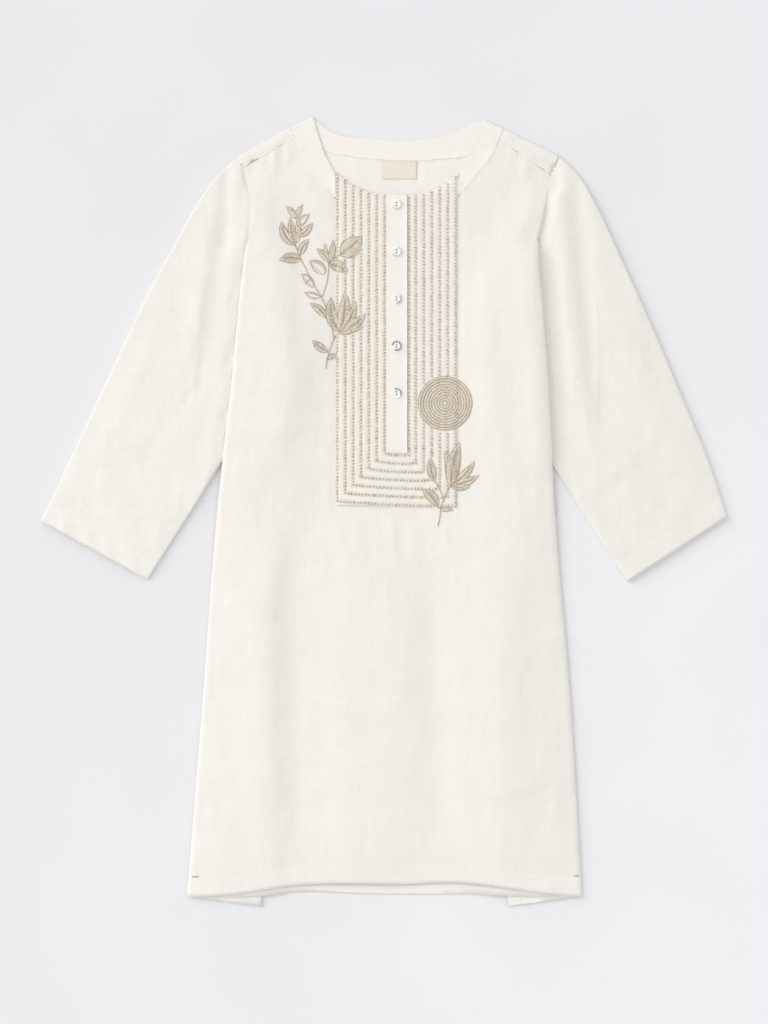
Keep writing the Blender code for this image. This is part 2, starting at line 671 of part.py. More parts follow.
# ---------------------------------------------------------------- buttons
def button(name, y, surface):
    """Shell button with a raised rim and two holes in line with the placket."""
    base = laid_on(BUTTON_X, y, 1, PLACKET_LIFT) + CLOTH / 2 + GAP
    points, faces = [], []
    for radius, height in BUTTON_PROFILE:
        for i in range(BUTTON_SIDES):
            turn = math.tau * i / BUTTON_SIDES
            points.append((radius * math.cos(turn), radius * math.sin(turn), height))
    for ring in range(len(BUTTON_PROFILE) - 1):
        for i in range(BUTTON_SIDES):
            after = (i + 1) % BUTTON_SIDES
            low, high = ring * BUTTON_SIDES, (ring + 1) * BUTTON_SIDES
            faces.append((low + i, low + after, high + after, high + i))
    faces.append(tuple(reversed(range(BUTTON_SIDES))))
    faces.append(tuple(range(len(points) - BUTTON_SIDES, len(points))))
    made = mesh_object(name, points, faces, surface)
    made.location = (BUTTON_X * MM, y * MM, base * MM)
    for sign in (-1, 1):
        bpy.ops.mesh.primitive_cylinder_add(
            vertices=8,
            radius=BUTTON_HOLE_RADIUS * MM,
            depth=6 * MM,
            location=(BUTTON_X * MM, (y + sign * BUTTON_HOLE_OFFSET) * MM, base * MM),
        )
        cutter = bpy.context.object
        cutter.name = f"{name}_hole_{'low' if sign < 0 else 'high'}"
        cutter.hide_render = True
        cutter.display_type = "WIRE"
        cut = made.modifiers.new(cutter.name, "BOOLEAN")
        cut.operation = "DIFFERENCE"
        cut.object = cutter
    return made


# ---------------------------------------------------------------- the garment
def main():
    for old in list(bpy.data.objects):
        bpy.data.objects.remove(old, do_unlink=True)
    front, back = front_rows(), back_rows()
    back_panel(back)
    front_panel(front)
    sleeve("right_sleeve", -1, RIGHT_SLEEVE)
    sleeve("left_sleeve", 1, LEFT_SLEEVE)
    neckband(front, back)
    bib()
    plackets()
    neck_label()
    shell = material("shell", (0.86, 0.85, 0.83), roughness=0.25)
    for i in range(BUTTONS):
        button(f"button_{i + 1}", FIRST_BUTTON_Y - i * BUTTON_PITCH, shell)


main()
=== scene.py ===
"""Finished look of the linen kurta tunic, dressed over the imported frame.

Every cloth piece is a fine shell grown from its own solid: the wall is turned back into quads,
subdivided, and given its folds, crinkles, hems and seams as real relief. Embroidery, topstitching
and thread lie on those shells. Tables and sizes are in millimetres in the frame's own axes
(+X the wearer's left, +Y from hem to neck, +Z up from the surface).
"""

import math

import bmesh
import bpy
import numpy as np
from mathutils import Matrix, Vector
from mathutils.kdtree import KDTree
from mathutils.bvhtree import BVHTree


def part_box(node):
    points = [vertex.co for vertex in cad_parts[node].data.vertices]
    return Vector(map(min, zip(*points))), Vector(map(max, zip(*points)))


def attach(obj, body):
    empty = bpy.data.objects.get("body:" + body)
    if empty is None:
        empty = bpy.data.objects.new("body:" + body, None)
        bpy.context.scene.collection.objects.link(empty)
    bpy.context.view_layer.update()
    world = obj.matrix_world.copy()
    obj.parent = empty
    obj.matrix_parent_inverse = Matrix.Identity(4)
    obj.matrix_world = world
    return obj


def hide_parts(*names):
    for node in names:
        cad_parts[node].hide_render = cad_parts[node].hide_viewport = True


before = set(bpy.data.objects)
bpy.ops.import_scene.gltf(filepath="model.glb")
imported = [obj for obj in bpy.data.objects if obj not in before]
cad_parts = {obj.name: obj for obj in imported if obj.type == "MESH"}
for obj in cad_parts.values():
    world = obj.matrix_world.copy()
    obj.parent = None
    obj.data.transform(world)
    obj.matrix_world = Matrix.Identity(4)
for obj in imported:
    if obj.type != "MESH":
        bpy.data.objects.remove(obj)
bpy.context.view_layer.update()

MM = 0.001
UP, DOWN = Vector((0, 0, 1)), Vector((0, 0, -1))
HIGH_ABOVE = 60.0  # above every piece

# ---- sizes read from the frame
BIB_LOW, BIB_HIGH = (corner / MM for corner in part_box("bib"))
PLACKET_LOW, PLACKET_HIGH = (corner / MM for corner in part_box("placket"))
LABEL_LOW, LABEL_HIGH = (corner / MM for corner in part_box("neck_label"))
BUTTONS = [f"button_{i}" for i in range(1, 6)]

# ---- cloth relief
WALL = 1.0  # thickness of a cloth solid
RIM_ANGLE = math.radians(60)  # a wall's rim turns more sharply than any fold in the mesh
STEEP = 0.6  # a face is part of the rim where its normal's Z is smaller
WELD = 0.02  # corners of a solid that lie nearer are one
OFF_GRID = 0.013  # keeps the cuts off the mesh's own corners

# Folds of the front: a soft ridge (or, below 0, a trough) between two ends, bowed sideways.
FRONT_FOLDS = (
    # x, y of the upper end, x, y of the lower end, bow, half width, height
    (-150, 60, -156, -440, 4, 22, 2.4),
    (-128, 40, -130, -440, -4, 18, 2.6),
    (-106, 20, -88, -456, -8, 19, -1.7),
    (-62, -100, -40, -458, 5, 16, 1.2),
    (6, -10, 20, -440, 6, 28, 2.0),
    (48, -30, 60, -458, 8, 20, -2.2),
    (106, 20, 108, -440, -5, 32, 2.6),
    (150, 40, 158, -444, -6, 24, 2.4),
    (-110, -205, 4, -236, -6, 7, 1.1),
    (-96, -222, 12, -262, 5, 6, -1.0),
    (-74, -246, 8, -284, -4, 6, 0.9),
    (-20, -180, 52, -214, 4, 6, 0.8),
    (-132, 316, -120, 60, 6, 16, 1.4),
    (-98, 336, -88, 150, -4, 10, -1.1),
    (118, 340, 132, 60, -6, 15, 1.5),
    (148, 230, 160, -20, 5, 13, -1.3),
    (-60, -10, -40, -74, 3, 8, 1.0),
    (-20, -4, -12, -62, -2, 6, -0.9),
    (8, -4, 12, -52, 2, 6, 0.8),
    (30, -6, 34, -84, 3, 8, 1.0),
    (72, -10, 80, -74, -3, 7, 0.9),
    (-160, -300, -50, -330, 6, 9, 0.9),
    (104, -330, 196, -300, -5, 9, 0.9),
    (98, 120, 178, 92, 4, 9, 0.9),
    (-182, 110, -100, 88, -4, 9, 0.8),
    (104, 8, 184, -30, -5, 8, 0.8),
    (-190, -96, -110, -130, 5, 9, 0.8),
)
# Small gathers below the shoulder seams and the back of the neckband.
SHOULDER_GATHERS = (
    # x, y of the upper end, lean, length, half width, height
    (-153, 402, 3, 26, 2.6, -0.7),
    (-144, 406, 2, 34, 2.4, 0.7),
    (-134, 410, 3, 22, 2.4, -0.6),
    (-126, 413, 1, 40, 2.8, 0.7),
    (-118, 418, 2, 30, 2.4, -0.6),
    (-111, 421, 2, 36, 2.6, 0.6),
    (146, 420, -2, 34, 2.6, 0.6),
    (155, 414, -3, 24, 2.4, -0.6),
    (164, 408, -2, 38, 2.8, 0.7),
    (173, 400, -3, 26, 2.4, -0.6),
    (183, 394, -2, 34, 2.6, 0.6),
)
NECK_GATHERS = (
    (-58, 412, 2, 30, 2.6, 0.5),
    (-47, 410, 1, 24, 2.4, -0.4),
    (-33, 409, -1, 34, 2.8, 0.5),
    (-18, 408, 1, 26, 2.4, -0.4),
    (48, 406, -1, 30, 2.6, 0.5),
    (59, 407, 1, 24, 2.4, -0.4),
    (74, 408, -2, 32, 2.8, 0.5),
)
SLEEVE_FOLDS = {
    "right_sleeve": (
        (-181, 452, -197, 205, 5, 9, -2.6),
        (-204, 340, -240, 120, 6, 14, 1.6),
        (-214, 250, -224, 96, 4, 4, 0.7),
        (-176, 250, -232, 60, 5, 10, 0.9),
        (-252, 240, -352, 20, 6, 12, 0.9),
        (-190, 170, -290, 30, -8, 8, -0.7),
        (-205, 40, -330, 120, 6, 9, 0.7),
        (-224, 20, -300, 62, -5, 7, -0.6),
    ),
    "left_sleeve": (
        (198, 452, 240, 50, -9, 15, 2.0),
        (220, 450, 262, 60, -9, 12, -2.6),
        (241, 268, 242, 92, 5, 3, 1.0),
        (268, 250, 352, 30, -6, 14, 1.0),
        (252, 150, 330, 40, 8, 8, -0.7),
        (232, 24, 330, 110, -6, 9, 0.7),
        (240, 6, 310, 52, 5, 7, -0.6),
    ),
}
CUFF_PUCKER = {"right_sleeve": 0.75, "left_sleeve": 0.25}  # height of the puckers at the cuff
HEM_PUCKER = 0.25
CRINKLES = ((46.0, 0.55), (22.0, 0.30), (10.0, 0.11))  # size, height
EDGE_FADE = 24.0  # folds die out this far from a body edge
EDGE_PRESS, EDGE_REACH = 2.1, 36.0  # how far the body's folded sides are pressed down
SLEEVE_FULL = 8.3  # height to which the wearer's right sleeve swells beside the body's fold
SLEEVE_LOW = 2.1  # height that the wearer's left sleeve keeps there
SHOWS_UNDER = 4.5  # the right sleeve's relief starts this far under the body's edge
SIDE_PUFF, SIDE_ROLL = 3.4, 1.6  # how far the body's left side stands up there, and rolls over
FRONT_EASE, SLEEVE_EASE = 2.2, 0.9  # how much the cloth stands off its solid between folds
SLEEVE_TOP_EASE = 1.2  # and how much more on the upper sleeve
SLEEVE_CRINKLE = 1.2  # its crinkles are stronger by this
CROSSING_Y = 314.0  # above it the body's edge is the armhole seam
SEAM_VALLEY = {"right_sleeve": (1.1, 0.7), "left_sleeve": (1.4, 2.4)}  # upper end, lower end
SEAM_STEP = 2.3  # on the wearer's left, the body's edge stands over the sleeve's by twice this
BODY_BLEND, SLEEVE_BLEND = 22.0, 26.0  # how far from the seam the cloth bends to meet it
UNDER_DROP = 0.5  # how much further the back goes down there than the front over it
BIB_PUFF = 0.85  # how much the bib swells between its rope rows
BIB_EDGE_SINK = 0.25  # how far its sewn edge lies below the front's surface
BIB_ROLL = 0.9  # how far its upper edge rolls down to the neckband
BIB_FLATTENS = (0.92, 0.85)  # share of the front's folds and of its crinkles that it takes out

HEM_DEPTH, HEM_STEP = 25.0, 0.25  # turn-up of the hems, and how much it stands out
HEM_CALM = 45.0  # the folds are flatter this far from a hem
STITCH_DENT, DENT_WIDTH = 0.35, 1.6  # of the dent along the top of a hem
HEM_Y = -380.0  # the hems lie below this
YOKE_Y, YOKE_Z = 380.0, 2.2  # the back's yoke, folded over the front, lies above these
NECK_X, NECK_HALF = 16.0, 105.0  # middle of the neck, and half its width with the neckband

# ---- embroidery
ROPE_ROWS = 7
ROPE_LEFT, ROPE_LEFT_PITCH = 0.4, 9.05  # x of the innermost row on each side, and the way out
ROPE_RIGHT, ROPE_RIGHT_PITCH = 27.3, 9.2
ROPE_CLEAR = 1.3  # the first row on the right stands clear of the placket's edge by this much
PLACKET_SHADOW_CORD = 27.3  # x of the dark cord beside the placket's right edge: partly floss, partly painted shadow of the edge
ROPE_FOOT_LEFT, ROPE_FOOT_LEFT_PITCH = 68.0, 9.25
ROPE_FOOT_RIGHT, ROPE_FOOT_RIGHT_PITCH = 65.8, 9.8
ROPE_FOOT_SAG = 1.4
ROPE_PITCH, ROPE_HALF, ROPE_LEAN = 4.0, 2.3, 1.3  # step, half width, slant of a stitch
ROPE_STITCHES = (
    # along the row, share of the size, width, lift, tone
    (-1.0, 1.0, 0.66, 0.2, 0.95),
    (1.0, 1.0, 0.66, 0.2, 0.95),
    # a short dark stitch between the pair: painted shade where the floss goes into the cloth
    (0.0, 0.5, 0.62, 0.75, 0.1),
)
DISC_CENTRE, DISC_RADIUS, DISC_PITCH = np.array([70.5, 125.2]), 31.0, 3.1
SATIN_PITCH, VEIN_PITCH = 0.72, 4.2
LEAF_STEPS = 39  # of the line along a leaf's midrib
BIB_STITCHING_TOP = 355.0  # y of its upper end
BAR_TACKS = ((-221.5, -213.5, -420.0), (218.5, 227.0, -419.0))  # from x, to x, y

# Botanical sprigs, each as stems (from, to, bow) and leaves (base, tip, width, bow, style).
UPPER_SPRIG = (
    (
        ((-67, 165), (-58, 199), 1.5),
        ((-58, 199), (-72, 247), -2.5),
        ((-72, 247), (-103, 309), 1.5),
        ((-72, 247), (-64, 287), -2.5),
        ((-64, 287), (-50, 297), 0.6),
        ((-58, 199), (-51, 208), 0.6),
        ((-65, 184), (-73, 189), -0.6),
        ((-85, 269), (-90, 264), 0.4),
    ),
    (
        ((-103, 308), (-118, 334), 11, 4.0, "full"),
        ((-102, 309), (-108, 339), 8, 1.5, "veined"),
        ((-101, 310), (-99, 340), 7, -1.0, "full"),
        ((-99, 318), (-83, 333), 9, -2.0, "full"),
        ((-98, 329), (-86, 343), 8, 1.5, "open"),
        ((-102, 338), (-112, 352), 7, -1.0, "full"),
        ((-101, 338), (-94, 354), 6, 1.0, "full"),
        ((-97, 296), (-87, 314), 9, 1.5, "full"),
        ((-96, 291), (-120, 290), 12, -2.0, "veined"),
        ((-64, 288), (-77, 303), 8, -1.5, "full"),
        ((-64, 289), (-68, 309), 5, 1.0, "open"),
        ((-63, 288), (-59, 313), 7, -1.5, "full"),
        ((-50, 296), (-26, 317), 22, -1.0, "full"),
        ((-63, 286), (-42, 277), 13, 1.5, "veined"),
        ((-69, 274), (-86, 289), 13, -2.0, "open"),
        ((-82, 259), (-95, 274), 9, -1.5, "open"),
        ((-74, 248), (-91, 253), 7, 1.0, "open"),
        ((-67, 224), (-85, 240), 9, -2.0, "full"),
        ((-52, 208), (-61, 247), 14, 4.0, "veined"),
        ((-51, 209), (-45, 253), 14, -2.5, "veined"),
        ((-50, 208), (-33, 242), 11, -3.0, "full"),
        ((-50, 207), (-22, 228), 13, -2.5, "veined"),
        ((-51, 205), (-24, 213), 9, 1.5, "full"),
        ((-65, 185), (-82, 198), 9, 1.5, "full"),
        ((-66, 176), (-54, 181), 6, 1.0, "full"),
    ),
)
LOWER_SPRIG = (
    (
        ((62, -16), (65, 4), -0.8),
        ((65, 4), (77, 30), 1.6),
        ((69, 12), (58, 36), -1.5),
        ((65, 4), (60, 9), 0.5),
    ),
    (
        ((77, 30), (70, 70), 12, -3.0, "veined"),
        ((77, 30), (87, 80), 16, 2.0, "veined"),
        ((78, 31), (104, 58), 10, -2.5, "full"),
        ((79, 31), (109, 42), 9, -2.0, "full"),
        ((78, 29), (99, 30), 7, -1.5, "full"),
        ((58, 36), (54, 62), 10, 1.5, "full"),
        ((62, 8), (44, 26), 12, -2.0, "veined"),
        ((65, 2), (79, 2), 6, 1.5, "full"),
    ),
)
SPRIGS = (UPPER_SPRIG, LOWER_SPRIG)

# ---- sleeves and buttons
CUFFS = {
    "right_sleeve": ((-395.2, -10.4), (-272.9, -77.3)),
    "left_sleeve": ((395.2, -5.8), (281.0, -79.6)),
}
SLEEVE_GRAIN = {"right_sleeve": math.radians(-28), "left_sleeve": math.radians(28)}
BUTTON_PROFILE = (
    (4.1, 0.0), (5.1, 0.25), (5.6, 0.7), (5.75, 1.2), (5.68, 1.6), (5.4, 1.93),
    (5.0, 2.1), (4.6, 2.08), (4.25, 1.9), (3.95, 1.6), (3.6, 1.42), (3.0, 1.35), (1.0, 1.32),
)  # radius, height
BUTTON_SIDES, BUTTON_WELL = 48, 1.32
BUTTON_HOLE_RADIUS, BUTTON_HOLE_OFFSET = 1.05, 1.6
# Painted shade on the buttons: a shadow crescent at the lower right of the upper three, and dark
# reflections in the dish of the lower two.
BUTTON_PAINTED_SHADE = (
    # strength of the crescent of painted shade and dark reflection, the way it faces and half its
    # spread, in degrees
    (0.45, -50, 100),
    (0.5, -40, 110),
    (0.95, -25, 65),
    (1.25, 30, 145),
    (1.1, 40, 75),
)

# ---- light and camera
SURROUND_COLOUR, SURROUND_STRENGTH = (0.98, 0.987, 1.0), 0.8
KEY_PLACE, KEY_SIZE, KEY_POWER = (-4.2, 2.2, 3.05), 5.0, 153.0  # in metres and watts
KEY_COLOUR = (1.0, 0.985, 0.96)
PICTURE_HEIGHT = 1181.5  # of the view at the cloth
CAMERA_HEIGHT = 3.2  # in metres
SENSOR = 36.0  # width of the camera's sensor


# ---- small tools
def smooth(t):
    t = np.clip(t, 0.0, 1.0)
    return t * t * (3 - 2 * t)


def rise(value, start, end):
    """0 up to start, 1 from end on, and a soft step between them."""
    return smooth((value - start) / (end - start))


def fall(value, start, end):
    """1 up to start, 0 from end on, and a soft step between them."""
    return 1 - rise(value, start, end)


def groove(distance, width):
    """1 on a line, falling away beside it."""
    return np.exp(-((distance / width) ** 2))


def ripple(x, y, size, seed):
    """Smooth noise between -1 and 1 whose features are about that size."""
    cells = 64
    lattice = np.random.default_rng(seed).uniform(-1, 1, (cells, cells))
    u, v = x / size + 17.3, y / size + 5.7  # off the lattice's own lines
    i, j = np.floor(u).astype(int), np.floor(v).astype(int)
    fu, fv = smooth(u - i), smooth(v - j)
    i, j, i2, j2 = i % cells, j % cells, (i + 1) % cells, (j + 1) % cells
    low = lattice[i, j] * (1 - fu) + lattice[i2, j] * fu
    high = lattice[i, j2] * (1 - fu) + lattice[i2, j2] * fu
    return low * (1 - fv) + high * fv


def crinkle(x, y, seed):
    """Crumpled-linen relief: soft facets that meet in faint ridges."""
    height = np.zeros_like(x)
    for i, (size, top) in enumerate(CRINKLES):
        bend = 0.35 * size * ripple(y, x, 1.7 * size, seed + 40 + i)
        facets = np.abs(ripple(x + bend, (y - bend) * 0.62, size, seed + i))
        height += top * (1 - 2 * facets)
    return height


def folds(table, x, y):
    """Summed relief of a fold table: (x0, y0, x1, y1, bow, half width, height) rows."""
    height = np.zeros_like(x)
    for x0, y0, x1, y1, bow, half_width, top in table:
        length = math.hypot(x1 - x0, y1 - y0)
        ux, uy = (x1 - x0) / length, (y1 - y0) / length
        t = ((x - x0) * ux + (y - y0) * uy) / length
        across = (y - y0) * ux - (x - x0) * uy - 4 * bow * t * (1 - t)
        width = half_width * (0.75 + 0.5 * np.clip(t, 0, 1))
        ends = rise(t, 0, 0.3) * fall(t, 0.7, 1)
        height += top * ends * groove(across, width)
    return height


def gathers(table, x, y):
    """Short tucks that start at a seam and run out down the cloth."""
    height = np.zeros_like(x)
    for x0, y0, lean, length, half_width, top in table:
        t = (y0 - y) / length
        across = x - x0 - lean * t
        share = np.where(t < -0.25, 0.0, fall(t, 0, 1))
        height += top * share * groove(across, half_width * (1 + np.clip(t, 0, 1)))
    return height


def left_of(way):
    """The way turned a quarter turn anticlockwise."""
    return np.array([-way[1], way[0]])


def values_of(items, name, kind=float):
    """One property of all the items, as an array."""
    values = np.empty(len(items), kind)
    items.foreach_get(name, values)
    return values


def vectors_of(items, name):
    values = np.empty(len(items) * 3)
    items.foreach_get(name, values)
    return values.reshape(-1, 3)


def points_of(mesh):
    return vectors_of(mesh.vertices, "co") / MM


def set_points(mesh, points):
    mesh.vertices.foreach_set("co", (np.asarray(points) * MM).ravel())
    mesh.update()


def set_value(mesh, name, values):
    """A number for each point, read by the materials."""
    layer = mesh.attributes.new(name, "FLOAT", "POINT")
    layer.data.foreach_set("value", np.asarray(values, np.float32))


def tree_of(*objects):
    """One search tree over several meshes, in millimetres."""
    corners, faces = [], []
    for made in objects:
        start = len(corners)
        corners += points_of(made.data).tolist()
        faces += [[start + v for v in p.vertices] for p in made.data.polygons]
    return BVHTree.FromPolygons(corners, faces)


def top_at(tree, x, y):
    """Height of the highest surface at a place, or None."""
    hit = tree.ray_cast(Vector((x, y, HIGH_ABOVE)), DOWN)[0]
    return None if hit is None else hit.z


def outline_of(node, step=12.0):
    """Left and right edge of a node's plan as (y, left x, right x) columns."""
    points = points_of(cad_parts[node].data)
    low, high = points[:, 1].min(), points[:, 1].max()
    ys = np.arange(low, high, step)
    bands = [points[np.abs(points[:, 1] - y) < 1.8 * step, 0] for y in ys]
    return np.array([(y, b.min(), b.max()) for y, b in zip(ys, bands)]).T


# ---- materials
class Nodes:
    """Short way to write a shader's node tree."""

    def __init__(self, name):
        self.material = bpy.data.materials.new(name)
        self.material.use_nodes = True
        self.tree = self.material.node_tree
        self.shader = self.tree.nodes["Principled BSDF"]

    def add(self, kind, settings=None, **inputs):
        node = self.tree.nodes.new("ShaderNode" + kind)
        for key, value in (settings or {}).items():
            setattr(node, key, value)
        for key, value in inputs.items():
            self.link(value, node.inputs[key.replace("_", " ")])
        return node

    def link(self, value, socket):
        if isinstance(value, bpy.types.NodeSocket):
            self.tree.links.new(value, socket)
        else:
            socket.default_value = value

    def math(self, operation, a, b=0.0):
        node = self.add("Math", {"operation": operation})
        self.link(a, node.inputs[0])
        self.link(b, node.inputs[1])
        return node.outputs[0]

    def total(self, *terms):
        """Sum of terms, each a value or a (value, weight) pair."""
        values = [self.math("MULTIPLY", *t) if isinstance(t, tuple) else t for t in terms]
        result = values[0]
        for value in values[1:]:
            result = self.math("ADD", result, value)
        return result

    def noise(self, vector, scale, detail=2.0):
        return self.add("TexNoise", Vector=vector, Scale=scale, Detail=detail).outputs["Fac"]

    def mix(self, factor, a, b):
        """Colour a where factor is 0, and b where it is 1."""
        node = self.add("Mix", {"data_type": "RGBA"})
        for value, socket in ((factor, 0), (a, 6), (b, 7)):
            self.link(value, node.inputs[socket])
        return node.outputs[2]

    def place(self, turn=0.0, scale=(1, 1, 1)):
        """The point in millimetres, turned to the cloth's grain."""
        where = self.add("TexCoord").outputs["Object"]
        scale = [s / MM for s in scale]
        return self.add("Mapping", Vector=where, Rotation=(0, 0, turn), Scale=scale).outputs[0]

    def slope(self, across, along):
        """A value that changes by so much for each millimetre in X and in Y."""
        axes = self.add("SeparateXYZ", Vector=self.place()).outputs
        return self.total((axes["X"], across), (axes["Y"], along))

    def value(self, name):
        return self.add("Attribute", {"attribute_name": name}).outputs["Fac"]

    def bump(self, height, distance, below=None):
        """Relief of height (0 to 1) times distance in millimetres."""
        under = {} if below is None else {"Normal": below}
        node = self.add("Bump", Height=height, Distance=distance * MM, Strength=1.0, **under)
        return node.outputs[0]

    def set(self, **inputs):
        for key, value in inputs.items():
            self.link(value, self.shader.inputs[key.replace("_", " ")])


def rgb(red, green, blue):
    """A colour given as it looks on a screen (0 to 255)."""
    def linear(c):
        c /= 255
        return c / 12.92 if c <= 0.04045 else ((c + 0.055) / 1.055) ** 2.4

    return (linear(red), linear(green), linear(blue), 1.0)


THREAD_PITCH, TWILL_PITCH = 0.72, 0.42  # of the linen's weave and the label's twill
LINEN_PAINTED_SHADE_X, LINEN_PAINTED_SHADE_Y = -0.0001, -0.00035  # painted shade: change of its tone for each millimetre, darker towards the wearer's left and the neck
BAND_LIGHT, BAND_DARK = rgb(252, 248, 241), rgb(245, 240, 233)
# The back's linen is a little lighter than the body's: painted light that offsets the shade inside the
# neck.
BACK_LIGHT_PAINTED_BRIGHTER, BACK_DARK_PAINTED_BRIGHTER = rgb(253, 250, 244), rgb(242, 238, 231)
SLEEVE_LIGHT, SLEEVE_DARK = rgb(251, 247.4, 241), rgb(240, 235.6, 228.4)


def linen(name, turn=0.0, light=rgb(250.3, 246.5, 240.6), dark=rgb(240.2, 235.5, 228.7)):
    """Plain-weave linen: over-and-under threads, slubs, faint streaks, a soft crumple, and painted
    shade that darkens it towards the wearer's left and the neck.

    The double layers of hems and bands, marked by the mesh's "double" value, look denser.
    """
    n = Nodes(name)
    place = n.place(turn)
    wobble = n.math("MULTIPLY", n.math("SUBTRACT", n.noise(place, 0.35), 0.5), 1.1)
    axes = n.add("SeparateXYZ", Vector=place).outputs
    phases = [n.total((axes[axis], math.pi / THREAD_PITCH), wobble) for axis in ("X", "Y")]
    warp, weft = (n.math("SINE", phase) for phase in phases)
    over = n.math("MULTIPLY", warp, weft)
    ridges = n.total(n.math("ABSOLUTE", warp), n.math("ABSOLUTE", weft))
    weave = n.total((over, 0.3), (ridges, 0.35))
    stretches = ((0.75, 0.022, 0.2), (0.022, 0.75, 0.2))
    slub = n.math("MAXIMUM", *(n.noise(n.place(turn, s), 1.0, 1.0) for s in stretches))
    crumple = n.noise(place, 0.14, 3.0)
    cloud = n.noise(place, 0.03, 3.0)
    # painted shade: a tone slope across the whole garment, darker towards the wearer's left and the
    # neck
    shade = n.slope(LINEN_PAINTED_SHADE_X, LINEN_PAINTED_SHADE_Y)
    tone = n.total((weave, 0.22), (slub, 0.5), (cloud, 0.35), (n.value("double"), 0.06), shade)
    share = n.add("MapRange", Value=tone, From_Min=0.35, From_Max=1.0).outputs[0]
    n.set(
        Base_Color=n.mix(share, dark, light),
        Normal=n.bump(weave, 0.09, n.bump(slub, 0.16, n.bump(crumple, 0.55))),
        Roughness=0.82,
        Specular_IOR_Level=0.25,
        Sheen_Weight=0.25,
        Sheen_Roughness=0.45,
    )
    return n.material


def floss(name, light, dark, roughness=0.5):
    """Twisted embroidery floss: tone by stitch, and fine ply lines along the thread."""
    n = Nodes(name)
    place = n.place()
    ply = n.add("TexWave", Vector=place, Scale=0.55, Distortion=6.0, Detail=2.0).outputs["Fac"]
    tone = n.total(n.value("tone"), (n.noise(place, 1.1), 0.35), (ply, 0.12), -0.2)
    n.set(
        Base_Color=n.mix(tone, dark, light),
        Normal=n.bump(ply, 0.12),
        Roughness=roughness,
        Sheen_Weight=0.2,
    )
    return n.material


def shell_material():
    """Mother-of-pearl: milky layers with a faint colour play under a polished skin, with crescents of
    painted shade and dark reflection along the rim, and hole walls painted dark as shade.
    """
    n = Nodes("pearl_shell")
    place = n.place()
    layers = n.add("TexWave", Vector=place, Scale=0.09, Distortion=9.0, Detail=3.0).outputs["Fac"]
    cloud = n.noise(place, 0.22, 3.0)
    milk = n.mix(layers, rgb(250, 249, 246), rgb(255, 254, 252))
    tint = n.mix(cloud, rgb(253, 247, 241), rgb(245, 251, 250))
    # the colour of the painted shade and dark reflection
    painted_shade_colour = n.mix(layers, rgb(118, 111, 105), rgb(170, 164, 158))
    painted_shade = n.math("MULTIPLY", n.value("painted_shade"), n.total(cloud, 0.45))
    face = n.mix(painted_shade, n.mix(0.3, milk, tint), painted_shade_colour)
    n.set(
        # hole walls painted dark: painted shade inside the holes
        Base_Color=n.mix(n.value("hole_with_painted_shade"), face, rgb(70, 64, 58)),
        Roughness=0.16,
        Coat_Weight=0.5,
        Coat_Roughness=0.06,
        Normal=n.bump(layers, 0.03),
    )
    return n.material


def tape_material():
    """Woven label tape: a fine twill rib across a pale beige ground."""
    n = Nodes("label_tape")
    axes = n.add("SeparateXYZ", Vector=n.place()).outputs
    lean = n.total(axes["X"], axes["Y"])
    rib = n.math("SINE", n.math("MULTIPLY", lean, math.pi / TWILL_PITCH))
    rib = n.math("MULTIPLY", n.total(rib, 1.0), 0.5)
    tone = n.total((rib, 0.5), (n.noise(n.place(), 0.4), 0.5))
    n.set(
        Base_Color=n.mix(tone, rgb(232, 222, 205), rgb(246, 238, 224)),
        Normal=n.bump(rib, 0.06),
        Roughness=0.55,
        Sheen_Weight=0.3,
    )
    return n.material


FLOOR_PAINTED_SHADE_X, FLOOR_PAINTED_SHADE_Y = 0.00042, -0.00037  # painted shade: change of its tone for each millimetre, darker towards the upper left


def floor_material():
    """Pale paper with painted shade: darker towards its upper left corner and lighter towards the lower
    right.
    """
    n = Nodes("studio_floor")
    cloud = n.noise(n.place(), 0.004)
    # painted shade: the tone slope stands in for the fall of light across the floor
    tone = n.total(n.slope(FLOOR_PAINTED_SHADE_X, FLOOR_PAINTED_SHADE_Y), (cloud, 0.4), 0.3)
    n.set(
        Base_Color=n.mix(tone, rgb(228, 228, 230), rgb(248, 248, 250)),
        Roughness=0.9,
        Specular_IOR_Level=0.1,
    )
    return n.material


# ---- objects
def put(name, data):
    """A new object in the scene."""
    made = bpy.data.objects.new(name, data)
    bpy.context.scene.collection.objects.link(made)
    return made


def new_piece(name, mesh, material):
    """A new piece of the garment."""
    made = put(name, mesh)
    mesh.materials.append(material)
    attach(made, "root")
    return made


def baked(made):
    """The object's mesh with its modifiers applied."""
    bpy.context.view_layer.update()
    evaluated = made.evaluated_get(bpy.context.evaluated_depsgraph_get())
    return bpy.data.meshes.new_from_object(evaluated)


# ---- cloth shells


def one_side(bm):
    """Deletes the wall's lower side and keeps the upper one with its rim."""
    start = max(bm.faces, key=lambda f: f.normal.z * f.calc_area())
    side, waiting = {start}, [start]
    while waiting:
        for edge in waiting.pop().edges:
            if edge.calc_face_angle(0.0) < RIM_ANGLE:
                for face in edge.link_faces:
                    if face not in side:
                        side.add(face)
                        waiting.append(face)
    near = {g for f in side for e in f.edges for g in e.link_faces} - side
    bmesh.ops.delete(bm, geom=[f for f in bm.faces if f not in side | near], context="FACES")


